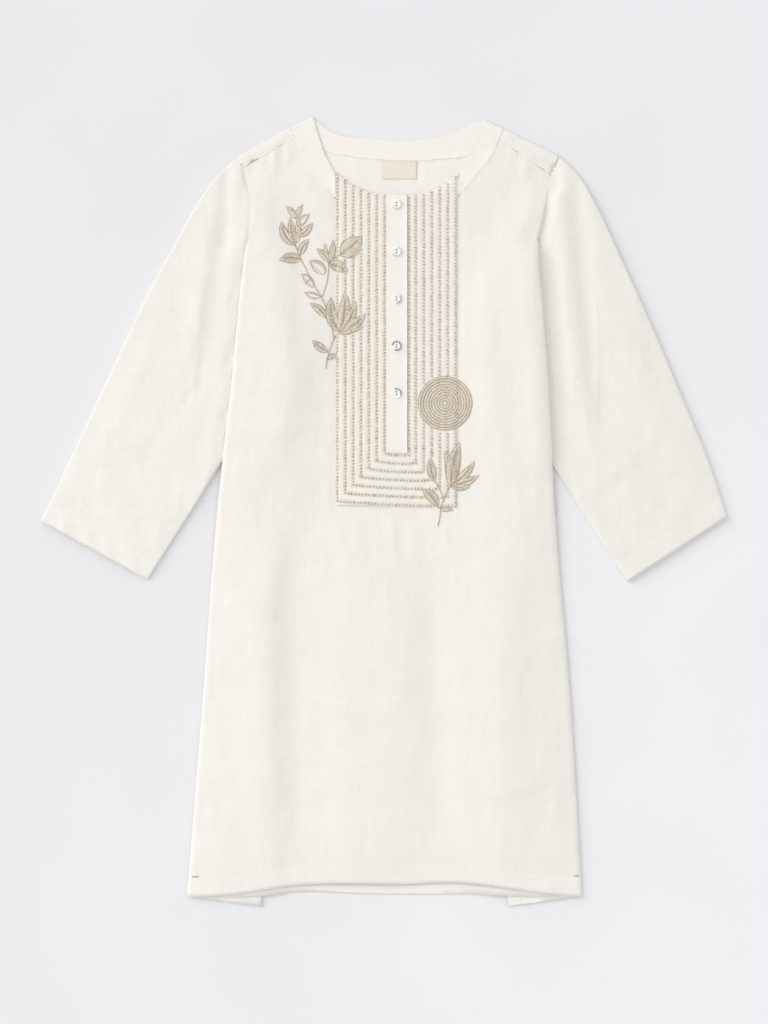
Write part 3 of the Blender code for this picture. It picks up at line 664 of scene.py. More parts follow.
def cut_flats(bm, steps):
    """Cuts the faces that are much longer than a step in X or Y into cells of about that size."""
    for axis, step in enumerate(steps):
        normal = [float(i == axis) for i in range(3)]
        places = [v.co[axis] / MM for v in bm.verts]
        first = math.ceil(min(places) / step) * step
        for at in np.arange(first, max(places), step) + OFF_GRID:
            faces = []
            for face in bm.faces:
                along = [v.co[axis] / MM for v in face.verts]
                if min(along) < at < max(along) and max(along) - min(along) > 1.6 * step:
                    faces.append(face)
            edges = {e for f in faces for e in f.edges}
            corners = {v for f in faces for v in f.verts}
            geom, place = [*faces, *edges, *corners], [at * MM * n for n in normal]
            bmesh.ops.bisect_plane(bm, geom=geom, plane_co=place, plane_no=normal, dist=1e-7)


def cloth_shell(node, levels, material, steps=(16, 30), both_sides=True, slot="linen"):
    """The node's wall as a fine smooth mesh with the same form and sharp rims."""
    bm = bmesh.new()
    bm.from_mesh(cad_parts[node].data)
    bmesh.ops.remove_doubles(bm, verts=bm.verts, dist=WELD * MM)
    bends = {"angle_face_threshold": math.radians(50), "angle_shape_threshold": math.radians(80)}
    bmesh.ops.join_triangles(bm, faces=bm.faces, **bends)
    bm.normal_update()
    if not both_sides:
        one_side(bm)
    cut_flats(bm, steps)
    bm.normal_update()
    crease = bm.edges.layers.float.new("crease_edge")
    rim = bm.verts.layers.float.new("rim")
    for edge in bm.edges:
        if edge.is_boundary or edge.calc_face_angle(0.0) >= RIM_ANGLE:
            edge[crease] = 1.0
            for vertex in edge.verts:
                vertex[rim] = 1.0
    coarse = bpy.data.meshes.new(node + "_coarse")
    bm.to_mesh(coarse)
    bm.free()
    made = new_piece(node + "_cloth", coarse, material)
    fine = made.modifiers.new("fine", "SUBSURF")
    fine.levels = fine.render_levels = levels
    fine.boundary_smooth = "PRESERVE_CORNERS"
    dense = baked(made)
    made.modifiers.clear()
    made.data = dense
    dense.name = made.name
    bpy.data.meshes.remove(coarse)
    dense.shade_smooth()
    dense.set_sharp_from_angle(angle=RIM_ANGLE)
    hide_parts(node)
    return made


def rim_points(made):
    """True for the points on the wall's cut edge."""
    return values_of(made.data.attributes["rim"].data, "value", np.float32) > 0.999


def edge_ways(made):
    """The level way out of the wall's cut edge at each point, and True where the point is on an
    upper surface."""
    mesh = made.data
    corners = values_of(mesh.loops, "vertex_index", int)
    counts = values_of(mesh.polygons, "loop_total", int)
    normals = np.repeat(vectors_of(mesh.polygons, "normal"), counts, axis=0)
    steep, up = np.abs(normals[:, 2]) < STEEP, normals[:, 2] >= STEEP
    ways = np.zeros((len(mesh.vertices), 2))
    np.add.at(ways, corners[steep], normals[steep, :2])
    ways /= np.maximum(np.hypot(*ways.T), 1e-6)[:, None]
    on_top = np.zeros(len(mesh.vertices), bool)
    on_top[corners[up]] = True
    return ways, on_top


def top_rim(made, only):
    """The chosen points of a piece's upper edge, as their numbers."""
    points, (_, on_top) = points_of(made.data), edge_ways(made)
    chosen = np.array([i for i in np.flatnonzero(rim_points(made) & on_top) if only(points[i])])
    chosen = chosen[uncovered(made, points[chosen], 1.3) > 0.5]
    heights = points[chosen, 2]
    plan = nearest_of([(x, y, 0) for x, y, _ in points[chosen]])
    highest = []
    for x, y, _ in points[chosen]:
        near = plan.find_n((x, y, 0), 8)
        highest.append(max(heights[i] for _, i, away in near if away < 3))
    return chosen[heights > np.array(highest) - 1.6]


def tuck(piece, only, reach=1.6, drop=0.0):
    """Slants the wall's cut edge out below its upper corner, so that a seam shows no gap, and
    draws it down by that many times the seam's step."""
    points, (ways, on_top) = points_of(piece.data), edge_ways(piece)
    above = nearest_of(points[top_rim(piece, only)])
    for i in np.flatnonzero(rim_points(piece) & ~on_top):
        depth = above.find(points[i])[2]
        if only(points[i]) and depth < 1.5:
            share = min(depth, 1.0)
            points[i, 2] -= drop * share * seam_step(*points[i, :2])
            points[i, :2] += ways[i] * reach * share
    points[:, 2] = np.maximum(points[:, 2], 0.0)
    set_points(piece.data, points)


def lap(piece, neighbours, height, only, overlap=0.8, step=1.2, fade=3.0):
    """Laps the piece's edge over its neighbours' by overlap, at that height above them. An edge
    with no neighbour within a step of its own height is free, and stays."""
    tree = tree_of(*neighbours)
    points, (ways, _) = points_of(piece.data), edge_ways(piece)
    places, shifts = [], []
    for i in top_rim(piece, only):
        goal = points[i, :2] + ways[i] * overlap
        top = top_at(tree, *goal)
        if top is not None and abs(top - points[i, 2]) < step:
            places.append(points[i])
            shifts.append(np.array([*goal, top + height]) - points[i])
    pull(piece, places, shifts, fade)


def clear(piece, over, gap, only):
    """Lifts the chosen part of a wall until its lower side is that gap above another cloth."""
    points, cloth = points_of(piece.data), tree_of(over)
    chosen = [i for i in range(len(points)) if only(points[i])]
    upper = uncovered(piece, points[chosen], 0.3)
    for i, share in zip(chosen, upper):
        top = top_at(cloth, *points[i, :2])
        if top is not None:
            points[i, 2] = max(points[i, 2], top + gap + WALL * share)
    set_points(piece.data, points)


def thin_out(piece):
    """Takes every second row out of the layers that lie inside a piece or under it."""
    bm = bmesh.new()
    bm.from_mesh(piece.data)
    tree = BVHTree.FromBMesh(bm)
    seen = set()
    for face in bm.faces:
        above = face.calc_center_median() + UP * 1.4 * WALL * MM
        open_top = face.normal.z > -0.3 and tree.ray_cast(above, UP)[0] is None
        if open_top or abs(face.normal.z) < STEEP:
            seen.update(face.verts)
    inner = []
    for vertex in bm.verts:
        near = {vertex, *(edge.other_vert(vertex) for edge in vertex.link_edges)}
        if not near & seen:
            inner.append(vertex)
    bmesh.ops.unsubdivide(bm, verts=inner, iterations=2)
    bm.to_mesh(piece.data)
    bm.free()


def nearest_of(places):
    tree = KDTree(len(places))
    for i, place in enumerate(places):
        tree.insert(place, i)
    tree.balance()
    return tree


def pull(piece, places, shifts, fade):
    """Moves the cloth near the given places by their shifts, dying out over fade."""
    points = points_of(piece.data)
    tree = nearest_of(places)
    low, high = np.min(places, axis=0) - fade, np.max(places, axis=0) + fade
    for i in np.flatnonzero(((points > low) & (points < high)).all(axis=1)):
        near = tree.find_n(points[i], 5)
        weights = np.array([(away + 0.5) ** -2 for _, _, away in near])
        shift = sum(w * shifts[j] for w, (_, j, _) in zip(weights, near)) / weights.sum()
        points[i] += shift * float(fall(near[0][2], 0, fade))
    points[:, 2] = np.maximum(points[:, 2], 0.0)
    set_points(piece.data, points)


def on_armhole(point):
    return point[1] > CROSSING_Y - 4


def on_yoke(point):
    """True on the back's upper edge where it is folded over the front's shoulders."""
    return point[1] > YOKE_Y and point[2] > YOKE_Z


def on_band_end(point):
    """True where the neckband crosses the shoulders."""
    return point[1] > 400 and abs(point[0] - NECK_X) > NECK_HALF


def on_sewn_edge(point):
    """True on the placket's edge towards the wearer's right, and on its foot."""
    return point[0] < PLACKET_LOW.x + 1 or point[1] < PLACKET_LOW.y + 1


def on_free_edge(point):
    return point[0] > PLACKET_HIGH.x - 1 and point[1] > PLACKET_LOW.y + 1


def toward_armpit(y):
    """0 on the upper part of the armhole seam, 1 at its lower end."""
    return fall(y, CROSSING_Y + 16, CROSSING_Y + 66)


def seam_step(x, y):
    """How far the body's edge stands over the seam, and the sleeve's under it."""
    return SEAM_STEP * float(toward_armpit(y)) * (x > 0)


def join_armhole(body, under, sleeve, valleys):
    """Brings the upper edges of the body and the sleeve together in a shallow valley. The
    layers under the body's edge go down with it."""
    upper_valley, lower_valley = valleys
    body_rim, sleeve_rim = (
        points_of(piece.data)[top_rim(piece, on_armhole)] for piece in (body, sleeve)
    )
    for own, other, piece, fade, side in (
        (body_rim, sleeve_rim, body, BODY_BLEND, 1),
        (sleeve_rim, body_rim, sleeve, SLEEVE_BLEND, -1),
    ):
        tree = nearest_of([(x, y, 0) for x, y, _ in other])
        places, shifts = [], []
        for place in own:
            _, i, away = tree.find((place[0], place[1], 0))
            if away < 4:
                low = float(toward_armpit(place[1]))
                valley = upper_valley + (lower_valley - upper_valley) * low
                valley -= side * seam_step(*place[:2])
                places.append(place)
                shifts.append((place + other[i]) / 2 - (0, 0, valley) - place)
        pull(piece, places, shifts, fade)
        if piece is body:
            pull(under, places, [shift - (0, 0, UNDER_DROP) for shift in shifts], fade)


def uncovered(made, points, gap=1.6):
    """1 for the points with nothing of their own piece more than a wall above them."""
    tree = tree_of(made)
    found = [tree.ray_cast(Vector((x, y, z + gap)), UP)[0] is None for x, y, z in points]
    return np.array(found, float)


def turned_up(distance):
    """1 in the double layer of a hem, 0 beyond it."""
    return fall(distance, HEM_DEPTH - 0.4, HEM_DEPTH + 0.4)


def calm(distance, reach):
    """Share of a fold's height that is left at a distance from a seam or hem."""
    return 0.4 + 0.6 * rise(distance, 0, reach)


def body_depth(x, y):
    """How far a place lies inside the body's folded sides."""
    left, right = np.interp(y, BODY_YS, BODY_LEFT), np.interp(y, BODY_YS, BODY_RIGHT)
    return np.minimum(x - left, right - x)


def side_press(x, y):
    """How far the body's folded sides are pressed down: all along but for the upper part of the
    wearer's left side, which stands proud of the sleeve."""
    depth = body_depth(x, y)
    reach = np.where(x < 0, fall(y, 275, 310), fall(y, 20, 70))
    press = EDGE_PRESS * reach * fall(depth, 5, 5 + EDGE_REACH)
    puff = (SIDE_PUFF + SIDE_ROLL * rise(depth, 0, 13)) * fall(depth, 13, 58)
    return press - puff * (x > 0) * rise(y, 30, 90) * fall(y, 280, 320)


def under_bib(x, y, margin):
    """1 under the bib, fading out over margin beyond its edges."""
    out = np.maximum.reduce([BIB_LOW.x - x, x - BIB_HIGH.x, BIB_LOW.y - y])
    return fall(out, 0, margin)


def front_relief(x, y):
    """What the front's folds and crinkles add to its solid's form, never below it."""
    depth = body_depth(x, y)
    ease = FRONT_EASE * (1 - under_bib(x, y, 60.0)) * fall(y, 230, 320)
    no_folds, no_crinkles = BIB_FLATTENS
    large = folds(FRONT_FOLDS, x, y) * (1 - no_folds * under_bib(x, y, 12.0)) + ease
    small = gathers(SHOULDER_GATHERS, x, y) + crinkle(x, y, 11) + 0.6
    small = small * (1 - no_crinkles * under_bib(x, y, 8.0))
    below_yoke = np.interp(x, *YOKE_LINE) - y
    lift = large * rise(depth, 0, EDGE_FADE) + small * rise(depth, 0, 7)
    return np.maximum(lift, 0.0) * calm(below_yoke, 26)


def yoke_line():
    """The back's felled edge on the front of the shoulders, as (x, y) columns."""
    points = points_of(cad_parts["back_panel"].data)
    felled = points[(points[:, 2] > 3.0) & (points[:, 1] > YOKE_Y)]
    xs = np.concatenate([np.arange(-164, -108, 6.0), [-60, 90], np.arange(140, 200, 6.0)])
    near = [felled[np.abs(felled[:, 0] - x) < 5] for x in xs]
    return xs, np.array([n[:, 1].min() if len(n) else 470.0 for n in near])


def pucker(along, from_hem, seed):
    """Uneven puckers of a hem, strongest between its edge and its stitching."""
    waves = 0.5 + ripple(along, 0.3 * along, 13, seed)
    return np.maximum(waves, 0) * fall(from_hem, 10, 32)


def hem_line(node):
    """The lower edge of the node's upper layer as (x, y) columns."""
    points = points_of(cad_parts[node].data)
    low = points[points[:, 1] < HEM_Y]
    xs = np.arange(low[:, 0].min() + 4, low[:, 0].max() - 3, 6.0)
    ys = []
    for x in xs:
        near = low[np.abs(low[:, 0] - x) < 12]
        ys.append(near[near[:, 2] > near[:, 2].max() - 2.4, 1].min())
    return xs, np.array(ys)


def open_cloth(node, *settings, **more):
    """A cloth shell with its points, and their x, y and z, which follow the points."""
    made = cloth_shell(node, *settings, **more)
    points = points_of(made.data)
    return made, points, *points.T


def finish_cloth(made, points, double):
    set_points(made.data, points)
    set_value(made.data, "double", double)
    return made


def hem_groove(from_hem):
    """Depth of the dent that the stitching leaves."""
    return STITCH_DENT * groove(from_hem - HEM_DEPTH, DENT_WIDTH)


def make_front(surface):
    made, points, x, y, z = open_cloth("front_panel", 3, surface, both_sides=False)
    main = uncovered(made, points)
    above_hem = y - np.interp(x, *HEMS["front"])
    turned = turned_up(above_hem) * main
    lift = front_relief(x, y) * calm(above_hem, HEM_CALM)
    lift += HEM_STEP * turned - hem_groove(above_hem)
    lift += HEM_PUCKER * pucker(x, above_hem, 52)
    points[:, 2] += np.maximum(lift, 0) * main
    points[:, 2] -= side_press(x, y) * rise(z, 0, 6.5) * main
    return finish_cloth(made, points, turned)


def make_back(surface, outside):
    """The back. Its yoke, folded over the front's shoulders, is in the outside linen."""
    made, points, x, y, z = open_cloth("back_panel", 2, surface)
    made.data.materials.append(outside)
    for face in made.data.polygons:
        if on_yoke(face.center / MM):
            face.material_index = 1
    inner = rise(body_depth(x, np.minimum(y, 300)), 30, 70)
    open_neck = rise(y, 366, 382) * inner * (z < YOKE_Z)
    off_label = np.maximum.reduce([LABEL_LOW.x - x, x - LABEL_HIGH.x, LABEL_LOW.y - y])
    tucks = np.maximum(gathers(NECK_GATHERS, x, y) + 0.35, 0) * fall(y, 401, 409)
    rough = 0.4 * np.maximum(crinkle(x, y, 5) + 0.4, 0)
    points[:, 2] += open_neck * rise(off_label, 0, 6) * (tucks + rough)
    above_hem = y - np.interp(x, *HEMS["back"])
    double = np.maximum(turned_up(above_hem), rise(z, YOKE_Z, YOKE_Z + 0.8))
    return finish_cloth(made, points, double)


def make_sleeve(node, surface):
    """A sleeve. Beside the body's fold the wearer's right one swells, and the left one is low."""
    made, points, x, y, z = open_cloth(node, 3, surface)
    upper = rise(z, 1.4, 3.0)
    from_cuff = cuff_distance(node, x, y)
    turned = turned_up(from_cuff)
    out = -body_depth(x, y)
    free = rise(out, 1, 15) if node == "left_sleeve" else rise(out, -SHOWS_UNDER, -0.5)
    ease = SLEEVE_EASE + SLEEVE_TOP_EASE * rise(y, 180, 240)
    lift = folds(SLEEVE_FOLDS[node], x, y) + ease + SLEEVE_CRINKLE * (crinkle(x, y, 23) + 0.4)
    lift = np.maximum(lift, 0) * free * calm(from_cuff, HEM_CALM)
    if node == "right_sleeve":
        beside = fall(out, 4, 44) * rise(out, -SHOWS_UNDER, -1)
        beside *= rise(y, -40, 20) * fall(y, 290, CROSSING_Y)
        lift += beside * np.maximum(SLEEVE_FULL - z - lift, 0)
    else:
        beside = fall(out, 9, 28) * fall(y, 285, 325)
        lift -= np.maximum(z + lift - SLEEVE_LOW, 0) * beside
    step = HEM_STEP * turned - hem_groove(from_cuff) * free
    step += CUFF_PUCKER[node] * pucker(x, from_cuff, 51) * free
    points[:, 2] += upper * (lift + step)
    return finish_cloth(made, points, turned)


def cuff_distance(node, x, y):
    (x0, y0), (x1, y1) = CUFFS[node]
    return np.abs((x - x0) * (y1 - y0) - (y - y0) * (x1 - x0)) / math.hypot(x1 - x0, y1 - y0)


def rope_x(side, row):
    """x of one rope row, on the wearer's right (-1) or left (1) of the placket."""
    if side < 0:
        return ROPE_LEFT - ROPE_LEFT_PITCH * row
    return ROPE_RIGHT + ROPE_RIGHT_PITCH * row + (ROPE_CLEAR if row == 0 else 0)


def rope_foot(row, share):
    """y of a row's foot, at a share of the way from its left to its right end."""
    left = ROPE_FOOT_LEFT - ROPE_FOOT_LEFT_PITCH * row
    right = ROPE_FOOT_RIGHT - ROPE_FOOT_RIGHT_PITCH * row
    return left + (right - left) * share - ROPE_FOOT_SAG * 4 * share * (1 - share)


def rope_distance(x, y):
    """Distance to the nearest rope row."""
    nearest = np.full_like(x, 99.0)
    for row in range(ROPE_ROWS):
        left, right = rope_x(-1, row), rope_x(1, row)
        foot = rope_foot(row, np.clip((x - left) / (right - left), 0, 1))
        for upright in (left, right):
            nearest = np.minimum(nearest, np.hypot(x - upright, np.minimum(y - foot, 0)))
        outside = np.maximum(np.maximum(left - x, x - right), 0)
        nearest = np.minimum(nearest, np.hypot(y - foot, outside))
    return nearest


def neckline_of(points):
    """The bib's upper edge as (x, y) columns."""
    xs = np.arange(BIB_LOW.x, BIB_HIGH.x + 1, 3.0)
    return xs, np.array([points[np.abs(points[:, 0] - x) < 2.5, 1].max() for x in xs])


def make_bib(surface, front):
    """The bib lies on the front. Its sewn edges thin out into the front, and it puffs up a little
    between the rope rows."""
    made, points, x, y, z = open_cloth("bib", 1, surface, steps=(2.8, 4.4))
    edge = np.minimum.reduce([x - BIB_LOW.x, BIB_HIGH.x - x, y - BIB_LOW.y])
    slit = np.maximum.reduce([PLACKET_LOW.x - x, x - PLACKET_HIGH.x, PLACKET_LOW.y - y])
    puff = BIB_PUFF * rise(rope_distance(x, y), 0, 4.2) * (0.75 + 0.5 * ripple(x, y, 7, 3))
    puff *= rise(edge, 0, 2.5) * rise(slit, 0, 2)
    tree = tree_of(front)
    thin = fall(edge, 0.4, 4.4)
    below_neck = np.interp(x, *neckline_of(points)) - y
    rolled = fall(below_neck, 0, 9)
    relief = front_relief(x, y)
    for i in range(len(points)):
        under = top_at(tree, x[i], y[i])
        height = z[i] + relief[i]
        if under is not None and thin[i] > 0 and below_neck[i] > 14:
            over = z[i] + relief[i] - under
            height -= thin[i] * (BIB_EDGE_SINK + over)
        points[i, 2] = height - BIB_ROLL * rolled[i] + puff[i] * (1 - rolled[i])
    return finish_cloth(made, points, np.full(len(points), 0.25))


def make_plain(node, levels, surface, double, seed, steps, relief=0.25, slot="linen"):
    """A piece with little relief of its own, which rides on the front's."""
    made, points, x, y, _ = open_cloth(node, levels, surface, steps, slot=slot)
    faint = relief * np.maximum(crinkle(x, y, seed) + 0.4, 0)
    on_front = front_relief(x, y) * (np.abs(x - PLACKET_LOW.x) < 40) * (y < PLACKET_HIGH.y + 1)
    points[:, 2] += on_front + faint
    return finish_cloth(made, points, np.full(len(points), double))


# ---- threads
class Threads:
    """Many short threads joined into one mesh, each a tapered tube with a tone of its own."""

    def __init__(self, seed):
        self.points, self.faces, self.tones = [], [], []
        self.draw = np.random.default_rng(seed)

    def add(self, path, widths, tone, flat=0.8, sides=5):
        """A tube through the path's points. widths is its half width at each one."""
        path = np.asarray(path, float)
        way = np.gradient(path, axis=0)
        way /= np.linalg.norm(way, axis=1)[:, None]
        across = np.cross(way, (0.0, 0.0, 1.0))
        across /= np.linalg.norm(across, axis=1)[:, None]
        upward = np.cross(across, way)
        start = len(self.points)
        turns = 2 * math.pi * (np.arange(sides)[:, None] + 0.5) / sides
        rings = across[:, None] * np.cos(turns) + flat * upward[:, None] * np.sin(turns)
        rings = path[:, None] + np.reshape(widths, (-1, 1, 1)) * rings
        self.points += rings.reshape(-1, 3).tolist()
        last = start + (len(path) - 1) * sides
        for ring in range(start, last, sides):
            for i in range(sides):
                a, b = ring + i, ring + (i + 1) % sides
                self.faces.append((a, b, b + sides, a + sides))
        self.faces.append(tuple(range(start + sides - 1, start - 1, -1)))
        self.faces.append(tuple(range(last, last + sides)))
        self.tones += [tone] * (len(path) * sides)

    def stitch(self, tree, a, b, width, tone, lift, sides=5, sink=0.15):
        """One stitch over the cloth from a to b, which rises in its middle."""
        places = [(a[0] + (b[0] - a[0]) * t, a[1] + (b[1] - a[1]) * t) for t in (0, 0.3, 0.7, 1)]
        heights = [top_at(tree, x, y) for x, y in places]
        if None in heights:
            return False
        lifts = (-sink, lift, lift, -sink)
        path = [(x, y, z + up) for (x, y), z, up in zip(places, heights, lifts)]
        self.add(path, (0.45 * width, width, width, 0.45 * width), tone, sides=sides)
        return True

    def mesh(self, name, material, slot):
        data = bpy.data.meshes.new(name)
        data.from_pydata((np.array(self.points) * MM).tolist(), [], self.faces)
        data.shade_smooth()
        set_value(data, "tone", self.tones)
        made = new_piece(name, data, material)
        return made


def walk(route, pitch):
    """Points at even steps along a route, each with its direction."""
    route = np.asarray(route, float)
    runs = np.concatenate([[0], np.cumsum(np.hypot(*np.diff(route, axis=0).T))])
    for at in np.arange(pitch / 2, runs[-1], pitch):
        i = min(np.searchsorted(runs, at) - 1, len(route) - 2)
        way = (route[i + 1] - route[i]) / max(runs[i + 1] - runs[i], 1e-9)
        yield route[i] + way * (at - runs[i]), way


def bezier(a, bow, b, count=14):
    """A curve from a to b that bows sideways by that much."""
    a, b = np.array(a, float), np.array(b, float)
    way = (b - a) / np.linalg.norm(b - a)
    middle = (a + b) / 2 + bow * left_of(way) * 2
    t = np.linspace(0, 1, count)[:, None]
    return (1 - t) ** 2 * a + 2 * t * (1 - t) * middle + t * t * b


# ---- embroidery
def rope_rows(tree, leaves, neckline):
    """Nested rope-stitch rows, left out under the motifs."""
    threads = Threads(7)
    for row in range(ROPE_ROWS):
        left, right = rope_x(-1, row), rope_x(1, row)
        shares = np.linspace(0, 1, 24)
        foot = [(left + (right - left) * s, rope_foot(row, s)) for s in shares]
        tops = [np.interp(x, *neckline) - 1.0 for x in (left, right)]
        route = [(left, tops[0]), *foot, (right, tops[1])]
        for place, way in walk(route, ROPE_PITCH):
            if covered(place, leaves):
                continue
            aside = left_of(way)
            aside *= 1 if way[1] > 0 or abs(way[0]) > 0.7 else -1
            for along, share, width, lift, tone in ROPE_STITCHES:
                lean = ROPE_LEAN * share * (1 + 0.2 * threads.draw.normal())
                half = ROPE_HALF * share * (1 + 0.12 * threads.draw.normal())
                middle = place + along * way + 0.2 * threads.draw.normal(size=2)
                reach = half * aside + lean * way
                shade = float(np.clip(tone + 0.2 * threads.draw.normal(), 0, 1))
                threads.stitch(tree, middle - reach, middle + reach, width, shade, lift, 5, 0.0)
    # the dark cord beside the placket's edge: a thread that partly stands in for the edge's shadow, as
    # painted shadow
    top = np.interp(PLACKET_SHADOW_CORD, *neckline) - 1.0
    stem_stitch(threads, tree, [(PLACKET_SHADOW_CORD, top), (PLACKET_SHADOW_CORD, PLACKET_LOW.y)], 0.5, 0.2)
    return threads


def covered(place, leaves):
    """True where a motif lies over the rope rows."""
    if np.hypot(*(place - DISC_CENTRE)) < DISC_RADIUS + 0.8:
        return True
    for rib, halves in leaves:
        away = np.hypot(*(rib - place).T)
        nearest = np.argmin(away)
        if away[nearest] < halves[nearest] + 0.3:
            return True
    return False


def disc(tree):
    """Couched cords in rings, parted by fine darker threads, round a white knot."""
    threads = Threads(8)
    rings = round(DISC_RADIUS / DISC_PITCH)
    for ring in range(1, rings + 1):
        outer = ring > rings - 3
        cord = (DISC_PITCH * (ring - 0.5), 2.3, 1.0, 0.85, 0.3)
        parting = (DISC_PITCH * ring, 1.9, 0.42, 0.0 if outer else 0.25, 0.4)
        for radius, pitch, width, tone, lift in (cord, parting) if ring > 1 else (parting,):
            count = max(6, round(2 * math.pi * radius / pitch))
            reach = 1.06 * math.pi / count
            for i in range(count):
                turn = 2 * math.pi * (i + 0.5 * (ring % 2)) / count
                ends = [
                    DISC_CENTRE + radius * np.array([math.cos(turn + s), math.sin(turn + s)])
                    for s in (-reach, reach)
                ]
                shade = tone + 0.1 * threads.draw.normal()
                threads.stitch(tree, *ends, width, shade, lift, sink=0.0)
    return threads


def knot(tree):
    """The white knot in the middle of the disc."""
    threads = Threads(13)
    for turn in np.linspace(0, math.pi, 6)[:5]:
        arm = 2.0 * np.array([math.cos(turn), math.sin(turn)])
        threads.stitch(tree, DISC_CENTRE - arm, DISC_CENTRE + arm, 0.62, 1.0, 0.55)
    return threads


def leaf_form(base, tip, width, bow):
    """A leaf's midrib and its half width at each point of it."""
    rib = bezier(base, bow, tip, LEAF_STEPS + 1)
    t = np.linspace(0, 1, LEAF_STEPS + 1)
    return rib, np.maximum(width / 2 * np.sin(math.pi * t**0.85) ** 0.8, 0.15)


def leaf(threads, tree, base, tip, width, bow, style):
    """Satin stitches slanting from the midrib to the edge, inside a stem-stitched outline.
    An open leaf shows the cloth along its middle, and a veined one has darker side veins."""
    rib, halves = leaf_form(base, tip, width, bow)
    ways = np.gradient(rib, axis=0)
    ways /= np.hypot(*ways.T)[:, None]
    length = np.hypot(*np.diff(rib, axis=0).T).sum()
    slant = 0.2 * width / length * LEAF_STEPS
    satin = np.arange(0.02, 0.94, SATIN_PITCH / length)
    veins = np.arange(0.16, 0.8, VEIN_PITCH / length) if style == "veined" else ()
    edges = []
    for side in (-1, 1):
        edge = rib + side * left_of(ways.T).T * halves[:, None]
        edges.append(edge)
        fill = 0.9 if side > 0 else 0.75
        for start, end in slants(rib, edge, slant, satin):
            if style == "open":
                start = start + (end - start) * 0.32
            if np.hypot(*(end - start)) > 0.5:
                tone = fill + 0.2 * threads.draw.normal()
                threads.stitch(tree, start, end, 0.42, tone, 0.4, 4)
        for start, end in slants(rib, edge, slant, veins):
            threads.stitch(tree, start, start + (end - start) * 0.85, 0.36, 0.12, 0.62, 4)
    stem_stitch(threads, tree, np.concatenate([edges[0], edges[1][::-1]]), 0.34, 0.2)
    if style != "open" and width >= 8:
        stem_stitch(threads, tree, rib[2:34], 0.34, 0.2)


def slants(rib, edge, slant, shares):
    """Lines from shares of the midrib to points that much further along the edge."""
    for at in np.asarray(shares) * LEAF_STEPS:
        yield pick(rib, at), pick(edge, min(at + slant, LEAF_STEPS - 0.1))


def pick(line, at):
    i = int(at)
    return line[i] + (line[min(i + 1, len(line) - 1)] - line[i]) * (at - i)


def stem_stitch(threads, tree, line, width, tone):
    for place, way in walk(line, 1.9):
        aside = 0.2 * left_of(way)
        shade = tone + 0.08 * threads.draw.normal()
        threads.stitch(tree, place - 1.5 * way - aside, place + 1.5 * way + aside, width, shade, 0.5, 4)


def sprigs(tree):
    threads = Threads(9)
    for stems, leaves in SPRIGS:
        for row in leaves:
            leaf(threads, tree, *row)
        for a, b, bow in stems:
            stem_stitch(threads, tree, bezier(a, bow, b), 0.62, 0.2)
    return threads


# ---- sewing
def running_stitch(threads, tree, route, length=2.1, gap=0.9, width=0.2):
    for place, way in walk(route, length + gap):
        a, b = place - way * length / 2, place + way * length / 2
        threads.stitch(tree, a, b, width, 0.6 + 0.1 * threads.draw.normal(), 0.06, 4)


def topstitching(tree):
    """The rows of running stitch along hems, cuffs, yoke, bib, placket and label."""
    threads = Threads(10)
    top_of_hem = HEM_DEPTH - 1.4
    xs, ys = HEMS["front"]
    routes = [np.column_stack([xs, ys + top_of_hem])[1:-1]]
    for (x0, y0), (x1, y1) in CUFFS.values():
        way = np.array([x1 - x0, y1 - y0]) / math.hypot(x1 - x0, y1 - y0)
        inward = left_of(way) * top_of_hem
        inward *= 1 if inward[1] > 0 else -1
        routes.append([(x0, y0) + inward + 5 * way, (x1, y1) + inward - 5 * way])
    for shoulder in (YOKE_LINE[0] < -100, YOKE_LINE[0] > 130):
        routes.append(np.column_stack(YOKE_LINE)[shoulder] + (0, 1.6))
    low, high = BIB_LOW, BIB_HIGH
    routes.append([(low.x + 1.3, BIB_STITCHING_TOP), (low.x + 1.3, low.y + 4.5)])
    routes.append([(high.x - 1.3, BIB_STITCHING_TOP), (high.x - 2.8, low.y + 2.5)])
    low, high = PLACKET_LOW, PLACKET_HIGH
    for x in (low.x + 1.6, high.x - 1.6):
        routes.append([(x, high.y - 3), (x, low.y + 2)])
    routes.append([(low.x + 2, low.y + 2), (high.x - 2, low.y + 2)])
    for route in routes:
        running_stitch(threads, tree, route)
    low, high = LABEL_LOW, LABEL_HIGH
    box = [(low.x, low.y), (high.x, low.y), (high.x, high.y), (low.x, high.y), (low.x, low.y)]
    centre = (np.array(box[0]) + np.array(box[2])) / 2
    inside = [centre + (np.array(corner) - centre) * (0.95, 0.9) for corner in box]
    running_stitch(threads, tree, inside, 1.4, 0.6, 0.16)
    return threads


def bar_tacks(tree):
    """Small thread bars over the tops of the side vents."""
    threads = Threads(11)
    for x0, x1, y in BAR_TACKS:
        for lift in (-0.35, 0.35):
            for x in np.arange(x0, x1, 2.0):
                threads.stitch(tree, (x, y + lift), (x + 2.6, y + lift), 0.42, 0.1, 0.35, 4)
    return threads


